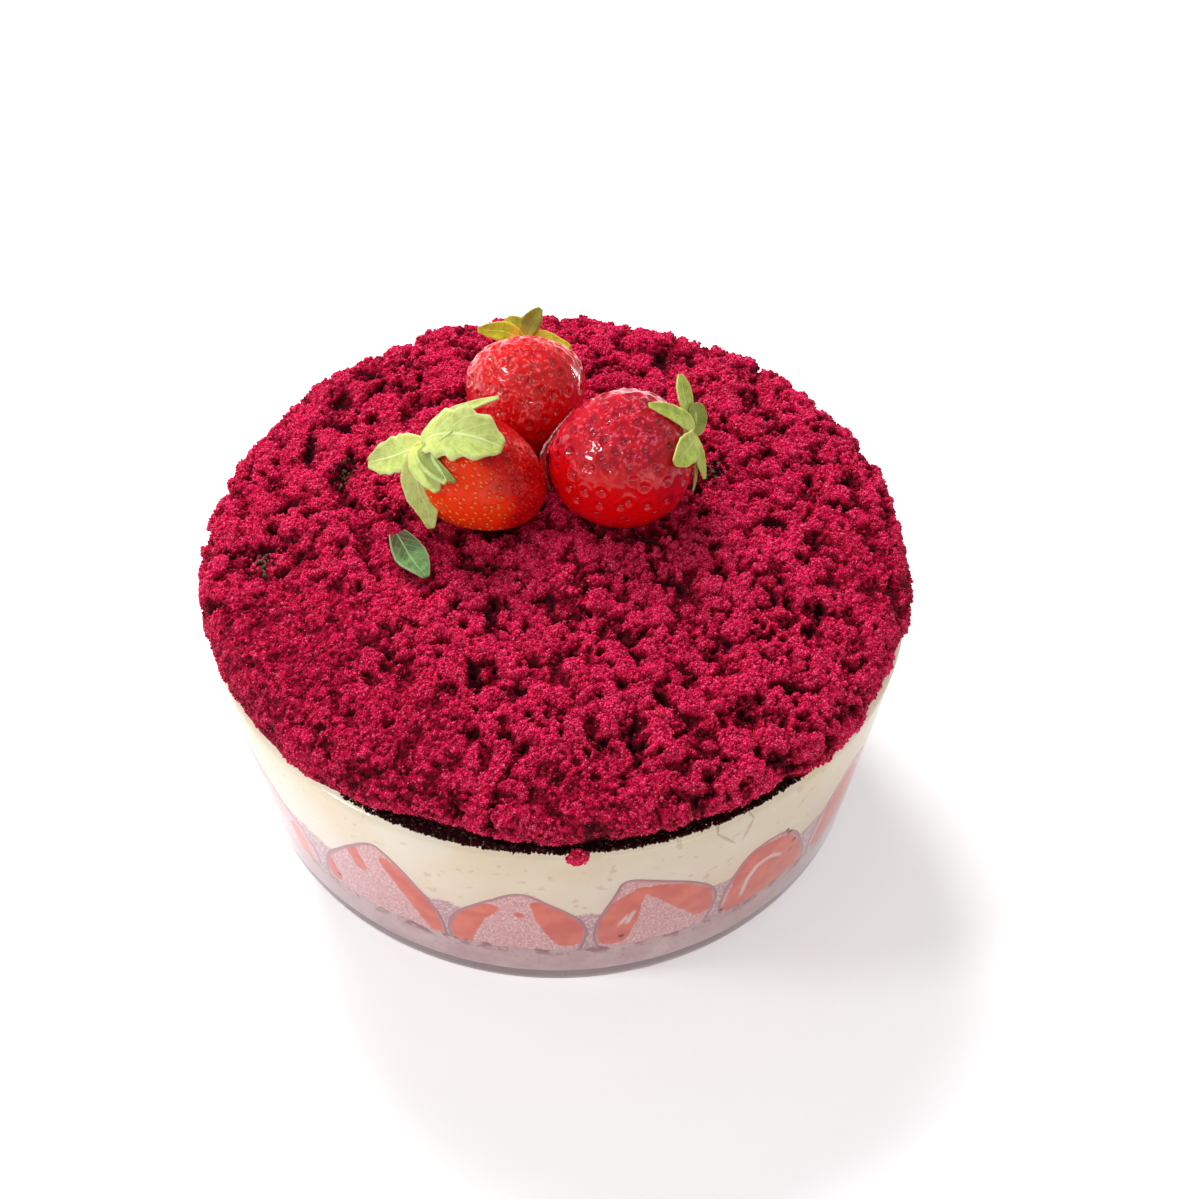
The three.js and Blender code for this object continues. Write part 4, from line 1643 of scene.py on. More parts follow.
    def lay_scraps(
        self,
        sites: tuple[Array, Array],
        material: Material,
        rng: Rng,
    ) -> None:
        """Lays the dark scraps on the crumb: dark grains that are painted shade of pits.

        Args:
            sites: Places on the crumb and the normals there.
            material: Their finish.
            rng: The source of the scatter.
        """
        places, normals = sites
        chosen = []
        for x, y, width in self.scraps:
            away = np.hypot(places[:, 0] - x * MM, places[:, 1] - y * MM) / (width * MM)
            likely = np.exp(-(away**2))
            chosen.append(rng.choice(len(places), self.scraps_each, p=likely / likely.sum()))
        picked = np.concatenate(chosen)
        shade_tones = rng.choice([0.15, 0.45, 0.85], len(picked), p=[0.5, 0.15, 0.35])
        Grains("shaded_pit_scraps", len(picked), (0.5 * MM, 1.1 * MM), 0.3).build(
            places[picked], normals[picked], shade_tones, material, rng
        )


# ---- strawberries on top ----


@dataclass(frozen=True)
class Sepal:
    """One leaf of a strawberry's crown.

    Attributes:
        tip: Where its tip is, in millimetres.
        width: Its width, in millimetres.
        blunt: Above 1 where it is broadest towards its end.
        twist: How far it is turned about its own length, in degrees.
        teeth: How deep its edge is toothed, as a share of its width.
        bow: How far it stands off the straight way to its tip, as a share of that.
        dim: How much darker than the others it is, painted shade where it lies in shade.
        open: How much its face turns to the front instead of away from the fruit.
    """

    tip: Triple
    width: float
    blunt: float = 1.0
    twist: float = 0.0
    teeth: float = 0.06
    bow: float = 0.3
    dim: float = 0.0
    open: float = 0.6


@dataclass(frozen=True)
class WholeBerry:
    """One whole strawberry on the crumb.

    Attributes:
        side: Its name in the frame.
        centre: Its middle, in millimetres.
        towards: The direction of its leafy end.
        length: Its length, in millimetres.
        radius: Its largest radius, in millimetres.
        taper: How much narrower its tip is.
        seed_spacing: The distance between seeds, in millimetres.
        seed_size: How large a seed is, 1 for one of 1.2 mm.
        dimple: The radius of a seed's dimple, in millimetres.
        dimple_depth: The depth of that, in millimetres.
        skin: Its skin.
        seeds: Its seeds' finish.
        leaves: Its leaves' finish.
        sepals: The leaves of its crown.
        blush_side: The direction of the side that has the other colour.
        sheen_side: The direction of the side where the glaze lies thick and a sky reflection is painted on
            the skin.
        sheen_from: How far the skin has to face that side, from -1 to 1.
    """

    side: str
    centre: Triple
    towards: Triple
    length: float
    radius: float
    taper: float
    seed_spacing: float
    seed_size: float
    dimple: float
    dimple_depth: float
    skin: FruitSkinFinish
    seeds: SeedFinish
    leaves: LeafFinish
    sepals: tuple[Sepal, ...]
    blush_side: Triple
    sheen_side: Triple
    sheen_from: float

    def frame(self) -> Matrix:
        """Gives the berry's own axes: +Z to its leafy end, +X as near upright as it goes."""
        axis = Vector(self.towards).normalized()
        top = (Vector((0, 0, 1)) - axis * axis.z).normalized()
        side = axis.cross(top)
        basis = Matrix((top, side, axis)).transposed().to_4x4()
        return Matrix.Translation(Vector(self.centre) * MM) @ basis

    def in_cake(self, places: Array) -> Array:
        """Moves places from the berry's axes into the cake's."""
        frame = np.array(self.frame())
        return places @ frame[:3, :3].T + frame[:3, 3]

    def facing(self, places: Array, side: Triple, ragged: float) -> Array:
        """Gives how far places of the skin face a side.

        Args:
            places: Places in the cake's axes.
            side: The direction of the side.
            ragged: How uneven the edge of that side is.

        Returns:
            From -1 on the far side to 1 on the near one.
        """
        away = places - np.array(self.centre) * MM
        away /= np.linalg.norm(away, axis=1)[:, None]
        return away @ np.array(Vector(side).normalized()) + ragged * soft_noise(places / MM, 5, 61)

    def blush_at(self, places: Array) -> Array:
        """Gives the blush at places in the cake's axes."""
        return smooth_step(0.1, 0.6, self.facing(places, self.blush_side, 0.25))

    def skin_at(self, turn: Array | float) -> tuple[Array | float, Array | float]:
        """Gives the skin's girth and height at a turn from its tip (0) to its leafy end (pi)."""
        girth = np.sin(turn) ** 0.92 * (1 - self.taper * np.cos(turn)) * (1 - 0.15 * self.taper)
        return self.radius * MM * girth, -self.length * MM / 2 * np.cos(turn)

    def reach_towards(self, point: Vector) -> float:
        """Gives how far the skin is from the middle towards a point of the berry's axes."""
        turns = np.linspace(0.001, math.pi - 0.001, 400)
        girth, height = self.skin_at(turns)
        wanted = math.atan2(math.hypot(point.x, point.y), -point.z)
        found = np.interp(wanted, np.arctan2(girth, -height), turns)
        return math.hypot(*self.skin_at(float(found)))


def leaf_half_width(t: float, blunt: float) -> float:
    """Gives a leaf's half-width at t along it, as a share of the largest."""
    return 0.12 + 0.88 * math.sin(math.pi * (0.12 + 0.86 * t**blunt)) ** 0.8


@dataclass
class Blade:
    """A thin leaf along a line of places, folded at its midrib and waved at its edge."""

    places: Sequence[Vector]
    faces: Sequence[Vector]
    width: float
    blunt: float = 1.0
    twist: float = 0.0
    teeth: float = 0.06
    dim: float = 0.0
    tooth_count: float = 5.5
    fold: float = 0.16
    wave: float = 0.1
    thickness: float = 0.4 * MM
    columns: int = 10
    rows: int = 36

    def add_to(self, bm: Shape) -> None:
        """Adds the leaf to a shape as a closed thin solid with its UV map and its dim.

        Args:
            bm: The shape that it joins, from new_leafwork.
        """
        leaf = new_leafwork()
        bmesh.ops.create_grid(leaf, x_segments=self.columns, y_segments=self.rows, size=1)
        uv = leaf.loops.layers.uv["Leaf"]
        dim = leaf.verts.layers.float["dim"]
        for face in leaf.faces:
            for loop in face.loops:
                loop[uv].uv = ((loop.vert.co.x + 1) / 2, (loop.vert.co.y + 1) / 2)
        last = len(self.places) - 1
        for vert in leaf.verts:
            s, t = vert.co.x, (vert.co.y + 1) / 2
            step = min(int(t * last), last - 1)
            place = self.places[step].lerp(self.places[step + 1], t * last - step)
            ahead = self.places[min(step + 2, last)] - self.places[max(step - 1, 0)]
            outwards = self.faces[step].lerp(self.faces[step + 1], t * last - step)
            along = ahead.normalized()
            across = outwards.cross(along).normalized()
            across = Matrix.Rotation(math.radians(self.twist), 3, along) @ across
            normal = along.cross(across)
            half = self.width / 2 * leaf_half_width(t, self.blunt)
            saw = 1 - 2 * abs((t * self.tooth_count) % 1 - 0.5)
            half *= 1 + self.teeth * saw * abs(s) ** 3 * float(smooth_step(0.15, 0.4, t))
            lift = self.fold * abs(s) ** 1.4 + self.wave * s * s * math.sin(9 * t + 2 * (s > 0))
            vert.co = place + across * (half * s) + normal * (half * lift)
            vert[dim] = self.dim
        bmesh.ops.recalc_face_normals(leaf, faces=leaf.faces)
        bmesh.ops.solidify(leaf, geom=leaf.faces, thickness=self.thickness)
        bmesh.ops.recalc_face_normals(leaf, faces=leaf.faces)
        mesh = as_mesh("leaf_blade", leaf)
        bm.from_mesh(mesh)
        bpy.data.meshes.remove(mesh)


def new_leafwork() -> Shape:
    """Starts a shape that carries what the leaves' finish reads."""
    bm = bmesh.new()
    bm.loops.layers.uv.new("Leaf")
    bm.verts.layers.float.new("dim")
    return bm


@dataclass
class GlazedStrawberry:
    """One whole strawberry with its dimples, its seeds and its crown of leaves.

    Attributes:
        ridge: How high the lines of thick glaze stand.
        bare_from: Where the seeds end, as a share of the way from the tip to the crown.
        seed_shift: How far a seed strays, as a share of the distance between seeds.
        seed_packing: The skin that a seed takes, as a share of that distance squared.
        seed_half: Half a seed's thickness, width and length, in millimetres.
        seed_sunk: How far a seed stands above the bottom of its dimple, in millimetres.
        collar_at: Where the ridge round a dimple is, as a share of the dimple's radius.
        collar_height: How high it is, as a share of the dimple's depth.
        crown_dent: How far the skin draws in under the crown, as a share of the length.
    """

    berry: WholeBerry
    rings: int = 150
    segments: int = 210
    ridge: float = 0.16 * MM
    bare_from: float = 0.93
    seed_shift: float = 0.24
    seed_packing: float = 0.87
    seed_half: Triple = (0.24, 0.4, 0.62)
    seed_sunk: float = 0.1
    collar_at: float = 1.5
    collar_width: float = 0.45
    collar_height: float = 0.45
    crown_dent: float = 0.07
    hub_radius: float = 2.4 * MM

    def seed_places(self, rng: Rng) -> tuple[Array, Array]:
        """Spreads the seeds over the skin, away from the crown.

        Args:
            rng: The source of their shifts.

        Returns:
            Their turns from the tip, and their angles about the axis.
        """
        berry = self.berry
        turns = np.linspace(0.02, self.bare_from * math.pi, 600)
        girth, height = berry.skin_at(turns)
        steps = np.hypot(np.gradient(girth), np.gradient(height))
        area = np.cumsum(FULL_TURN * girth * steps)
        count = int(area[-1] / ((berry.seed_spacing * MM) ** 2 * self.seed_packing))
        order = np.arange(count) + 0.5
        found = np.interp(order / count * area[-1], area, turns)
        shift = self.seed_shift * berry.seed_spacing / berry.radius
        angles = order * GOLDEN_ANGLE + rng.normal(0, shift, count)
        # A seed that strays past the tip would have no place on the skin.
        edge = 0.01
        return np.clip(found + rng.normal(0, shift, count), edge, math.pi - edge), angles

    def surface(self, turns: Array, angles: Array) -> Array:
        """Gives places on the smooth skin in the berry's axes."""
        girth, height = self.berry.skin_at(turns)
        uneven = 1 + 0.02 * np.sin(3 * angles + 1.3 * turns) + 0.014 * np.sin(5 * angles - 2 * turns)
        return np.column_stack([girth * uneven * np.cos(angles), girth * uneven * np.sin(angles), height])

    def body(self, seeds: Array) -> Piece:
        """Builds the dimpled fruit under its uneven glaze.

        Args:
            seeds: The seeds' places in the berry's axes.

        Returns:
            The piece, with its pit, blush and glaze sheen at each point.
        """
        berry = self.berry
        bm = bmesh.new()
        layers = {name: bm.verts.layers.float.new(name) for name in ("pit", "blush", "glaze_sheen")}
        bmesh.ops.create_uvsphere(bm, u_segments=self.segments, v_segments=self.rings, radius=1)
        unit = np.array([v.co for v in bm.verts])
        turns = np.arccos(np.clip(-unit[:, 2], -1, 1))
        angles = np.arctan2(unit[:, 1], unit[:, 0])
        places = self.surface(turns, angles)
        gaps = np.full(len(places), np.inf)
        for seed in seeds:
            gaps = np.minimum(gaps, np.linalg.norm(places - seed, axis=1))
        gaps /= berry.dimple * MM
        world = berry.in_cake(places)
        numbers = {
            "pit": np.exp(-(gaps**2)),
            "blush": berry.blush_at(world),
            "glaze_sheen": smooth_step(0, 0.5, berry.facing(world, berry.sheen_side, 0.3) - berry.sheen_from),
        }
        collar = np.exp(-(((gaps - self.collar_at) / self.collar_width) ** 2))
        ridges = np.clip(1 - 3 * np.abs(soft_noise(world / MM, 1.7, 62)), 0, 1)
        rise = berry.dimple_depth * MM * (self.collar_height * collar - numbers["pit"])
        rise += self.ridge * ridges * numbers["glaze_sheen"]
        places += places / np.linalg.norm(places, axis=1)[:, None] * rise[:, None]
        crown = smooth_step(0.9 * math.pi, math.pi, turns)
        places[:, 2] -= self.crown_dent * berry.length * MM * crown
        for vert, place in zip(bm.verts, berry.in_cake(places).tolist()):
            vert.co = place
        for name, layer in layers.items():
            fill_layer(bm.verts, layer, numbers[name])
        bmesh.ops.recalc_face_normals(bm, faces=bm.faces)
        name = f"strawberry_fruit_{berry.side}"
        return finish_piece(name, bm, berry.skin.material(), [f"strawberry_{berry.side}"])

    def seed_piece(self, turns: Array, angles: Array) -> Piece:
        """Builds the seeds, each lying along its meridian in its dimple.

        Args:
            turns: Their turns from the tip.
            angles: Their angles about the axis.

        Returns:
            The joined piece.
        """
        berry = self.berry
        template = bmesh.new()
        bmesh.ops.create_uvsphere(template, u_segments=6, v_segments=5, radius=1)
        shape = np.array([v.co for v in template.verts])
        # A seed is a drop: pointed at its upper end and flattened.
        shape[:, :2] *= 1 - 0.35 * shape[:, 2:]
        shape *= np.array(self.seed_half) * berry.seed_size * MM
        faces = [[v.index for v in f.verts] for f in template.faces]
        template.free()
        middles = self.surface(turns, angles)
        ahead = self.surface(turns + 0.01, angles)
        points, polygons = [], []
        for middle, next_place in zip(middles, ahead):
            along = next_place - middle
            along /= np.linalg.norm(along)
            out = middle / np.linalg.norm(middle)
            across = np.cross(along, out)
            across /= np.linalg.norm(across)
            out = np.cross(across, along)
            place = middle - out * (berry.dimple_depth - self.seed_sunk) * MM
            start = len(points) * len(shape)
            points.append(shape @ np.array([out, across, along]) + place)
            polygons.extend([[start + i for i in face] for face in faces])
        world = berry.in_cake(np.vstack(points))
        name = f"strawberry_seeds_{berry.side}"
        mesh = bpy.data.meshes.new(name)
        mesh.from_pydata(world, [], polygons)
        add_tone(mesh, "blush", berry.blush_at(world))
        return finish_piece(name, mesh, berry.seeds.material())

    def crown(self) -> Piece:
        """Builds the crown of sepals round a small hub."""
        berry = self.berry
        frame = berry.frame()
        bm = new_leafwork()
        hub = Matrix.Translation((0, 0, (berry.length / 2 + 0.5) * MM)) @ Matrix.Diagonal((1, 1, 0.42, 1))
        bmesh.ops.create_uvsphere(
            bm, u_segments=16, v_segments=10, radius=self.hub_radius, matrix=frame @ hub
        )
        for sepal in berry.sepals:
            self.sepal_blade(sepal, frame).add_to(bm)
        name = f"strawberry_leaves_{berry.side}"
        return finish_piece(name, bm, berry.leaves.material(), [f"calyx_{berry.side}"])

    def sepal_blade(self, sepal: Sepal, frame: Matrix) -> Blade:
        """Leads one sepal from the crown, off the fruit and down to its tip.

        Args:
            sepal: The sepal.
            frame: The berry's axes.

        Returns:
            The blade in the frame's axes.
        """
        berry = self.berry
        steps, clear, ripple = 12, 1.0 * MM, 0.35 * MM
        crown = Vector((0, 0, (berry.length / 2 + 0.4) * MM))
        end = frame.inverted() @ (Vector(sepal.tip) * MM)
        middle = crown.lerp(end, 0.45)
        middle.z += sepal.bow * (end - crown).length
        front = frame.to_3x3().inverted() @ Vector((0, -1, 1)).normalized()
        places, faces = [], []
        for i in range(steps + 1):
            t = i / steps
            place = crown * (1 - t) ** 2 + middle * 2 * t * (1 - t) + end * t * t
            reach = max(place.length, berry.reach_towards(place) + clear)
            place = place.normalized() * (reach + ripple * math.sin(2.2 * math.pi * t))
            places.append(frame @ place)
            faces.append((frame.to_3x3() @ (place.normalized() + sepal.open * front)).normalized())
        return Blade(places, faces, sepal.width * MM, sepal.blunt, sepal.twist, sepal.teeth, sepal.dim)

    def build(self, rng: Rng) -> None:
        """Builds the fruit, its seeds and its crown.

        Args:
            rng: The source of the seeds' small shifts.
        """
        turns, angles = self.seed_places(rng)
        self.body(self.surface(turns, angles))
        self.seed_piece(turns, angles)
        self.crown()


@dataclass(frozen=True)
class Bead:
    """A thin bead along a line, pointed at both ends, such as set glaze on the fruit.

    Attributes:
        name: The piece's name.
        path: The line's corners, in millimetres.
        radius: The bead's largest radius, in millimetres.
    """

    name: str
    path: Sequence[Sequence[float]]
    radius: float

    def build(self, material: Material, slot: Slot) -> Piece:
        """Builds the bead from a ball that is drawn out along the line.

        Args:
            material: Its finish.
            slot: Not used.

        Returns:
            The piece.
        """
        bm = bmesh.new()
        bmesh.ops.create_uvsphere(bm, u_segments=16, v_segments=64, radius=1)
        corners = np.array(self.path) * MM
        steps = np.linspace(0, 1, len(corners))
        turn = Vector(corners[-1] - corners[0]).to_track_quat("Z", "X").to_matrix()
        for vert in bm.verts:
            t = math.acos(max(-1.0, min(1.0, -vert.co.z))) / math.pi
            middle = Vector([np.interp(t, steps, corners[:, axis]) for axis in range(3)])
            swell = 1 + 0.4 * noise.noise(middle / (2.2 * MM))
            round_way = Vector((vert.co.x, vert.co.y, 0)) * self.radius * MM * swell
            vert.co = middle + turn @ round_way
        bmesh.ops.recalc_face_normals(bm, faces=bm.faces)
        return finish_piece(self.name, bm, material)


BERRIES = (
    WholeBerry(
        side="left",
        centre=(-15.9, 6, 88.6),
        towards=(-0.87, 0.2, 0.43),
        length=28.5,
        radius=12.8,
        taper=0.2,
        seed_spacing=2.0,
        seed_size=0.66,
        dimple=0.5,
        dimple_depth=0.2,
        skin=FruitSkinFinish(
            "fresh_strawberry",
            skin=srgb(214, 4, 4), deep=srgb(176, 0, 4), blush=srgb(252, 60, 8), glaze_sheen=srgb(240, 78, 66),
            glaze=0.35,
            glaze_roughness=0.14,
            glaze_relief=0.2 * MM,
        ),
        seeds=SeedFinish("fresh_seeds", srgb(255, 160, 66), srgb(246, 108, 34), srgb(206, 8, 8), 0.4),
        leaves=LeafFinish("fresh_sepals"),
        sepals=(
            Sepal((-42, 11.5, 87.2), 9.2, 1.25, teeth=0.14, bow=0),
            Sepal((-32.5, 4, 86), 5.6, bow=0.2),
            Sepal((-27.6, -5, 83.5), 7, 1.2, twist=-34, bow=0.15),
            Sepal((-25.9, -4.6, 94.4), 6.4, twist=-20, bow=0.1),
            Sepal((-21.9, -4.4, 97.3), 3.4, bow=0.1, dim=0.8),
            Sepal((-23.9, -4.3, 96.8), 4.4, bow=0.15),
            Sepal((-11.7, 1.9, 101.5), 10.6, 1.8, teeth=0.3, bow=0.2),
            Sepal((-12.7, 14.8, 104), 4, bow=0.35),
            Sepal((-21.7, 6.2, 101), 6, 1.3),
        ),
        blush_side=(-0.6, -0.72, 0.05),
        sheen_side=(0.45, -0.2, 0.85),
        sheen_from=0.55,
    ),
    WholeBerry(
        side="back",
        centre=(-7, 30.9, 89),
        towards=(-0.05, 0.93, 0.37),
        length=26.6,
        radius=13.8,
        taper=0.27,
        seed_spacing=4.4,
        seed_size=1.0,
        dimple=0.95,
        dimple_depth=0.5,
        skin=FruitSkinFinish(
            "glazed_strawberry_back",
            skin=srgb(232, 26, 30), deep=srgb(206, 4, 16), blush=srgb(212, 0, 4),
            glaze_sheen=srgb(255, 106, 112),
            glaze_relief=0.6 * MM,
        ),
        seeds=SeedFinish("red_seeds_back", srgb(204, 2, 8), srgb(184, 0, 6), srgb(206, 60, 50)),
        leaves=LeafFinish(
            "olive_sepals",
            blade=srgb(196, 192, 30), shade=srgb(162, 166, 18), vein=srgb(236, 222, 96),
            base=srgb(246, 182, 24), edge=srgb(222, 212, 86),
        ),
        sepals=(
            Sepal((-18.1, 45, 97), 5, open=3),
            Sepal((-11.5, 49, 97.2), 6, 1.2, open=3),
            Sepal((-8.3, 49, 96.2), 4.5, open=3),
            Sepal((-3.6, 49, 100.2), 4.6, 1.2, dim=0.7, open=3),
            Sepal((3.1, 41, 95.1), 4.4, open=3),
            Sepal((-2.2, 51, 88), 4.4),
            Sepal((-14.2, 49, 86.6), 4.4),
        ),
        blush_side=(0.1, -0.75, -0.65),
        sheen_side=(-0.25, -0.3, 0.92),
        sheen_from=0.3,
    ),
    WholeBerry(
        side="right",
        centre=(14.2, 9.5, 90.5),
        towards=(0.94, 0.17, 0.3),
        length=31.8,
        radius=15.4,
        taper=0.1,
        seed_spacing=4.6,
        seed_size=1.0,
        dimple=1.0,
        dimple_depth=0.5,
        skin=FruitSkinFinish(
            "glazed_strawberry_right",
            skin=srgb(210, 4, 26), deep=srgb(160, 0, 30), blush=srgb(222, 0, 4),
            glaze_sheen=srgb(238, 84, 112),
            glaze_relief=0.65 * MM,
        ),
        seeds=SeedFinish("red_seeds_right", srgb(216, 0, 6), srgb(192, 0, 6), srgb(180, 30, 56)),
        leaves=LeafFinish(
            "bright_sepals",
            blade=srgb(192, 210, 88), shade=srgb(160, 182, 54), vein=srgb(224, 232, 144),
            base=srgb(214, 220, 100), edge=srgb(222, 230, 146),
        ),
        sepals=(
            Sepal((27.2, 21, 105.5), 5.8, 1.5, bow=0.05),
            Sepal((20, 9.6, 106.9), 4.6, 1.1),
            Sepal((31.9, 19, 98.4), 6.4, 1.5, bow=0.1, dim=0.7),
            Sepal((25.4, -0.5, 99.2), 6.2, 1.8, bow=0.1),
            Sepal((32.6, 5.2, 88.6), 3.4, 1.4, bow=0.15),
            Sepal((29.1, 4, 86.7), 1.4, dim=0.4),
            Sepal((29.4, 25.4, 90.5), 4.4),
        ),
        blush_side=(-0.35, -0.75, -0.55),
        sheen_side=(-0.1, -0.2, 0.97),
        sheen_from=0.5,
    ),
)

GLAZE_BEADS = (
    Bead(
        "glaze_between_berries",
        (
            (4.1, 20, 96.3), (1.2, 16, 95.2), (-1.5, 12, 93.5), (-3.1, 9, 92.1), (-2.7, 6, 90),
            (-1.2, 3.5, 86.2),
        ),
        0.9,
    ),
    Bead("glaze_on_back_berry", ((3, 30.5, 100.1), (4.4, 28, 98.4), (5, 25, 95.6)), 0.8),
)

# The smears between the cream and the glass: at each end the angle round the dish in
# degrees and the height in millimetres.
SMEARS = (((24.5, 60.5), (31, 48)), ((31, 48), (33, 60.8)))
SMEAR_RADIUS = 0.42
SMEAR_DEPTH = 0.12 * MM


@dataclass
class LooseLeaf:
    """The cupped leaf that lies on the crumb by itself."""

    start: tuple[float, float] = (-35.6 * MM, -4.2 * MM)
    end: tuple[float, float] = (-28.6 * MM, -17.3 * MM)
    height: float = 79.9 * MM
    width: float = 7.4 * MM
    arch: float = 0.5 * MM
    finish: LeafFinish = LeafFinish(
        "loose_leaf",
        blade=srgb(112, 150, 88), shade=srgb(80, 112, 70), vein=srgb(158, 188, 126),
        base=srgb(74, 72, 44), edge=srgb(160, 190, 136),
    )

    def build(self) -> Piece:
        """Builds the leaf."""
        start, end = (Vector((*spot, self.height)) for spot in (self.start, self.end))
        steps = 12
        places = []
        for t in np.linspace(0, 1, steps + 1):
            places.append(start.lerp(end, t) + Vector((0, 0, self.arch * math.cos(FULL_TURN * t))))
        bm = new_leafwork()
        up = [Vector((0, 0, 1))] * (steps + 1)
        Blade(places, up, self.width, teeth=0.04, fold=0.3, wave=0.05).add_to(bm)
        return finish_piece("cupped_leaf", bm, self.finish.material(), ["loose_leaf"])


# ---- the studio ----


@dataclass
class Lamp:
    """One soft rectangular light.

    Attributes:
        name: Its name.
        place: Where it stands.
        size: How wide it is.
        power: How strong it is.
        colour: Its colour.
        mirrored: Whether wet surfaces mirror it.
        scattered: Whether it lights what is matt.
    """

    name: str
    place: Triple
    size: float
    power: float
    colour: Triple
    mirrored: bool = True
    scattered: bool = True

    def build(self, target: Vector) -> None:
        """Adds the light, aimed at a place."""
        data = bpy.data.lights.new(self.name, "AREA")
        data.size = self.size
        data.energy = self.power
        data.color = self.colour
        lamp = add_object(self.name, data)
        lamp.visible_glossy = self.mirrored
        lamp.visible_diffuse = self.scattered
        lamp.location = self.place
        lamp.rotation_euler = (target - Vector(self.place)).to_track_quat("-Z", "Y").to_euler()


@dataclass
class Studio:
    """The pale floor, the soft lights and the photograph's camera."""

    target: Vector
    camera_elevation: float = math.radians(47.2)
    camera_distance: float = 0.6
    lens: float = 78.7
    shift: tuple[float, float] = (0.0362, -0.0211)
    sky: Colour = (0.95, 0.97, 1.0, 1.0)
    sky_strength: float = 0.42
    floor_drop: float = 0.1 * MM
    floor: FloorFinish = FloorFinish()

    def build(self) -> None:
        """Builds all of it."""
        scene = bpy.context.scene
        scene.view_settings.view_transform = "Standard"
        world = bpy.data.worlds.new("soft_sky")
        world.use_nodes = True
        background = world.node_tree.nodes["Background"]
        background.inputs["Color"].default_value = self.sky
        background.inputs["Strength"].default_value = self.sky_strength
        scene.world = world
        lamps = (
            Lamp("window", (-0.32, 0.84, 0.98), 0.5, 18, (1.0, 0.99, 0.99), mirrored=False),
            Lamp("softbox", (-0.62, -0.2, 0.72), 0.14, 1.8, (1.0, 0.99, 0.98), mirrored=False),
            Lamp("catchlight", (-0.6, -0.24, 0.7), 0.16, 3.2, (1.0, 1.0, 1.0), scattered=False),
            Lamp("left_fill", (-1.0, -0.45, 0.14), 0.5, 0.8, (0.97, 0.98, 1.0)),
            Lamp("front_fill", (0.5, -1.0, 0.12), 0.6, 2.4, (1.0, 0.86, 0.68)),
        )
        for lamp in lamps:
            lamp.build(self.target)
        self.add_floor()
        self.add_camera()

    def add_floor(self) -> None:
        """Adds the floor, a hair under the dish, so that the foot's glass mirrors as a real one does."""
        bm = bmesh.new()
        bmesh.ops.create_grid(bm, x_segments=1, y_segments=1, size=3)
        bmesh.ops.translate(bm, verts=bm.verts, vec=(0, 0, -self.floor_drop))
        mesh = as_mesh("floor", bm)
        mesh.materials.append(self.floor.material())
        add_object("floor", mesh)

    def add_camera(self) -> None:
        """Adds the camera at the photograph's angle."""
        data = bpy.data.cameras.new("camera")
        data.lens = self.lens
        data.shift_x, data.shift_y = self.shift
        data.clip_start = 0.01
        camera = add_object("camera", data)
        rise = self.camera_elevation
        back = Vector((0, -math.cos(rise), math.sin(rise)))
        camera.location = self.target + back * self.camera_distance
        camera.rotation_euler = (-back).to_track_quat("-Z", "Y").to_euler()
        bpy.context.scene.camera = camera


# ---- the whole ----


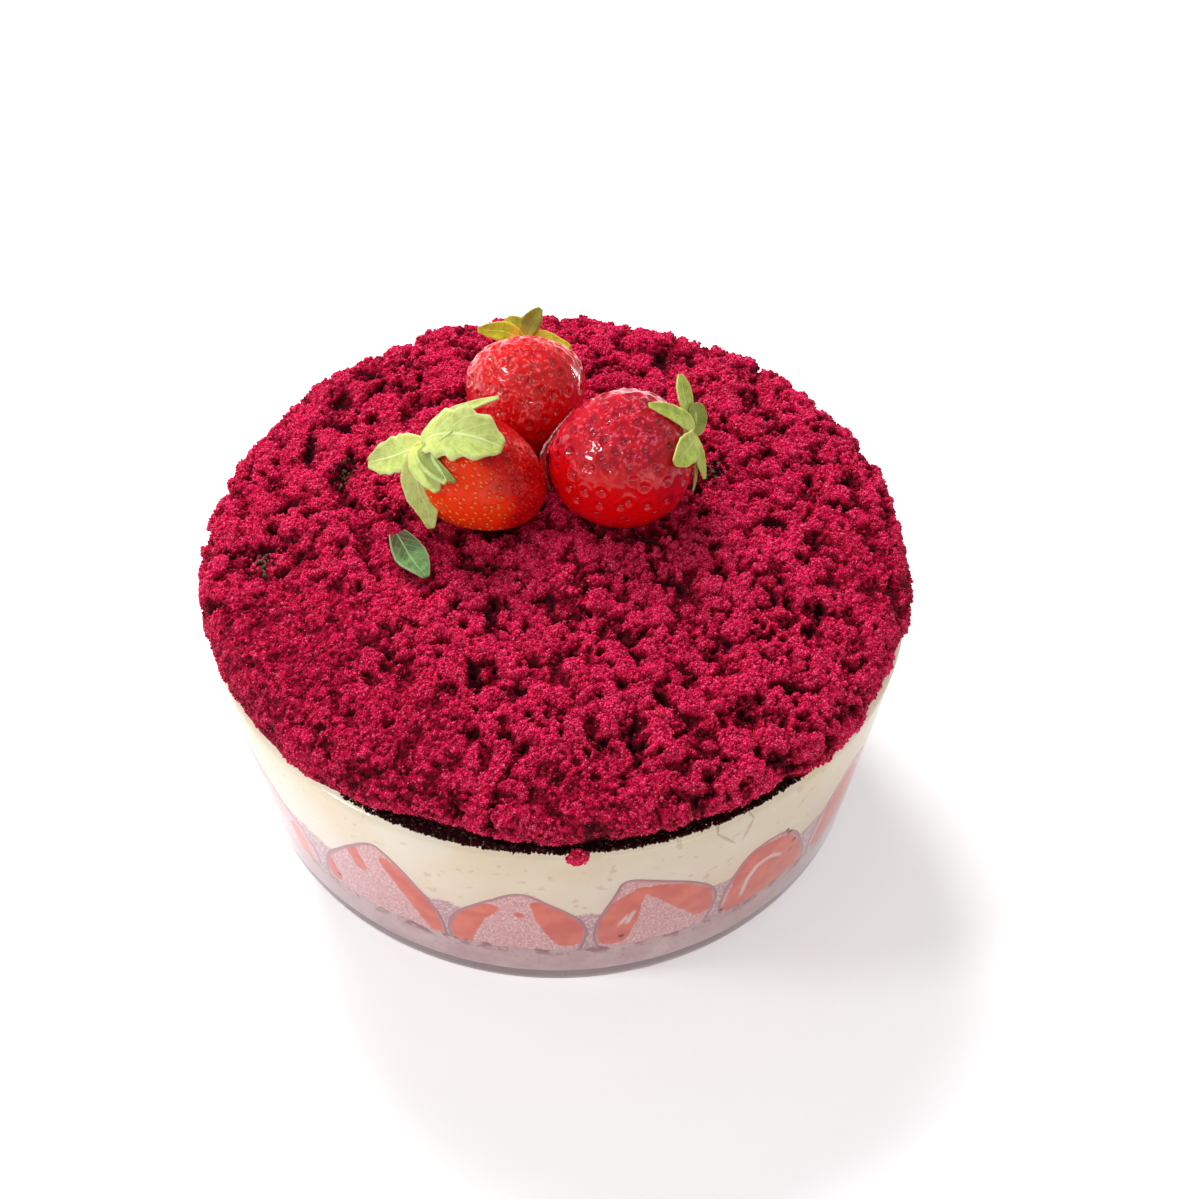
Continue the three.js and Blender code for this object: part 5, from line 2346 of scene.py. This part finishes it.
def lay_crumb(top: CrumbTop, strays: StrayCrumbs, rng: Rng) -> None:
    """Builds the crumb's core and scatters its clumps and grains.

    Args:
        top: The crumb.
        strays: The crumbs off it.
        rng: The source of the scatter.
    """
    material = top.finish.material()
    quarters = [top.quarter(turn, material) for turn in range(4)]
    places, normals, shade_tones = top.sites(quarters)
    calm = np.max([zone.smoothing(places) for zone in top.zones], axis=0)
    # The flecks and specks have a lighter shade tone: painted glints on the grains, partly their own
    # lighter pink.
    kinds = (
        (Grains("crumb_nubs", 8000, (0.7 * MM, 1.2 * MM), 0.45, 0.0, (-0.15, 0.2)), 1.0),
        (Grains("crumb_grains", 24000, (0.5 * MM, 0.85 * MM), 0.3, 0.02, (-0.25, 0.3), fine=True), 0.4),
        (Grains("crumb_flecks", 24000, (0.35 * MM, 0.6 * MM), 0.3, 0.1, (-0.35, 0.45), fine=True), 0.0),
        (Grains("crumb_specks", 24000, (0.25 * MM, 0.42 * MM), 0.25, 0.35, (-0.2, 0.5), fine=True), 0.0),
    )
    for kind, shy in kinds:
        lean = np.clip(shade_tones, 0.02, 1) ** 2 * (1 - shy * calm)
        chosen = rng.choice(len(places), kind.count, p=lean / lean.sum())
        spots = places[chosen]
        reach = np.linalg.norm(spots[:, :2], axis=1)
        fits = reach < top.reach_limit - kind.size[1] / 2
        kind.build(spots[fits], normals[chosen][fits], shade_tones[chosen][fits], material, rng)
    strays.lay_clump(material, rng)
    damp_shade = strays.damp_shade.material()
    strays.lay_on_lip(damp_shade, rng)
    strays.lay_scraps((places, normals), damp_shade, rng)


def main() -> None:
    """Builds the cake round its frame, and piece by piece."""
    logging.basicConfig(level=logging.INFO, format="%(message)s")
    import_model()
    rng = np.random.default_rng(RANDOM_SEED)
    shape = DishShape()
    Studio(Vector((0, 0, AIM_HEIGHT))).build()
    GlassDish(shape).build()
    CreamLayer(shape).build()
    SpongeBase(shape).build()
    HalvedStrawberries(shape).build(rng)
    lay_crumb(CrumbTop(), StrayCrumbs(shape), rng)
    for berry in BERRIES:
        GlazedStrawberry(berry).build(rng)
    glaze = SetGlazeFinish().material()
    for bead in GLAZE_BEADS:
        bead.build(glaze, Slot.BERRY)
    tan = CreamFinish("tan_smear", light=srgb(230, 206, 178), warm=srgb(224, 198, 168)).material()
    for i, ends in enumerate(SMEARS, 1):
        corners = np.linspace(*ends, 9)
        path = [shape.on_wall(angle, height * MM, -SMEAR_DEPTH) / MM for angle, height in corners]
        Bead(f"smear_on_cream_{i}", path, SMEAR_RADIUS).build(tan, Slot.CREAM)
    LooseLeaf().build()


if __name__ == "__main__":
    main()
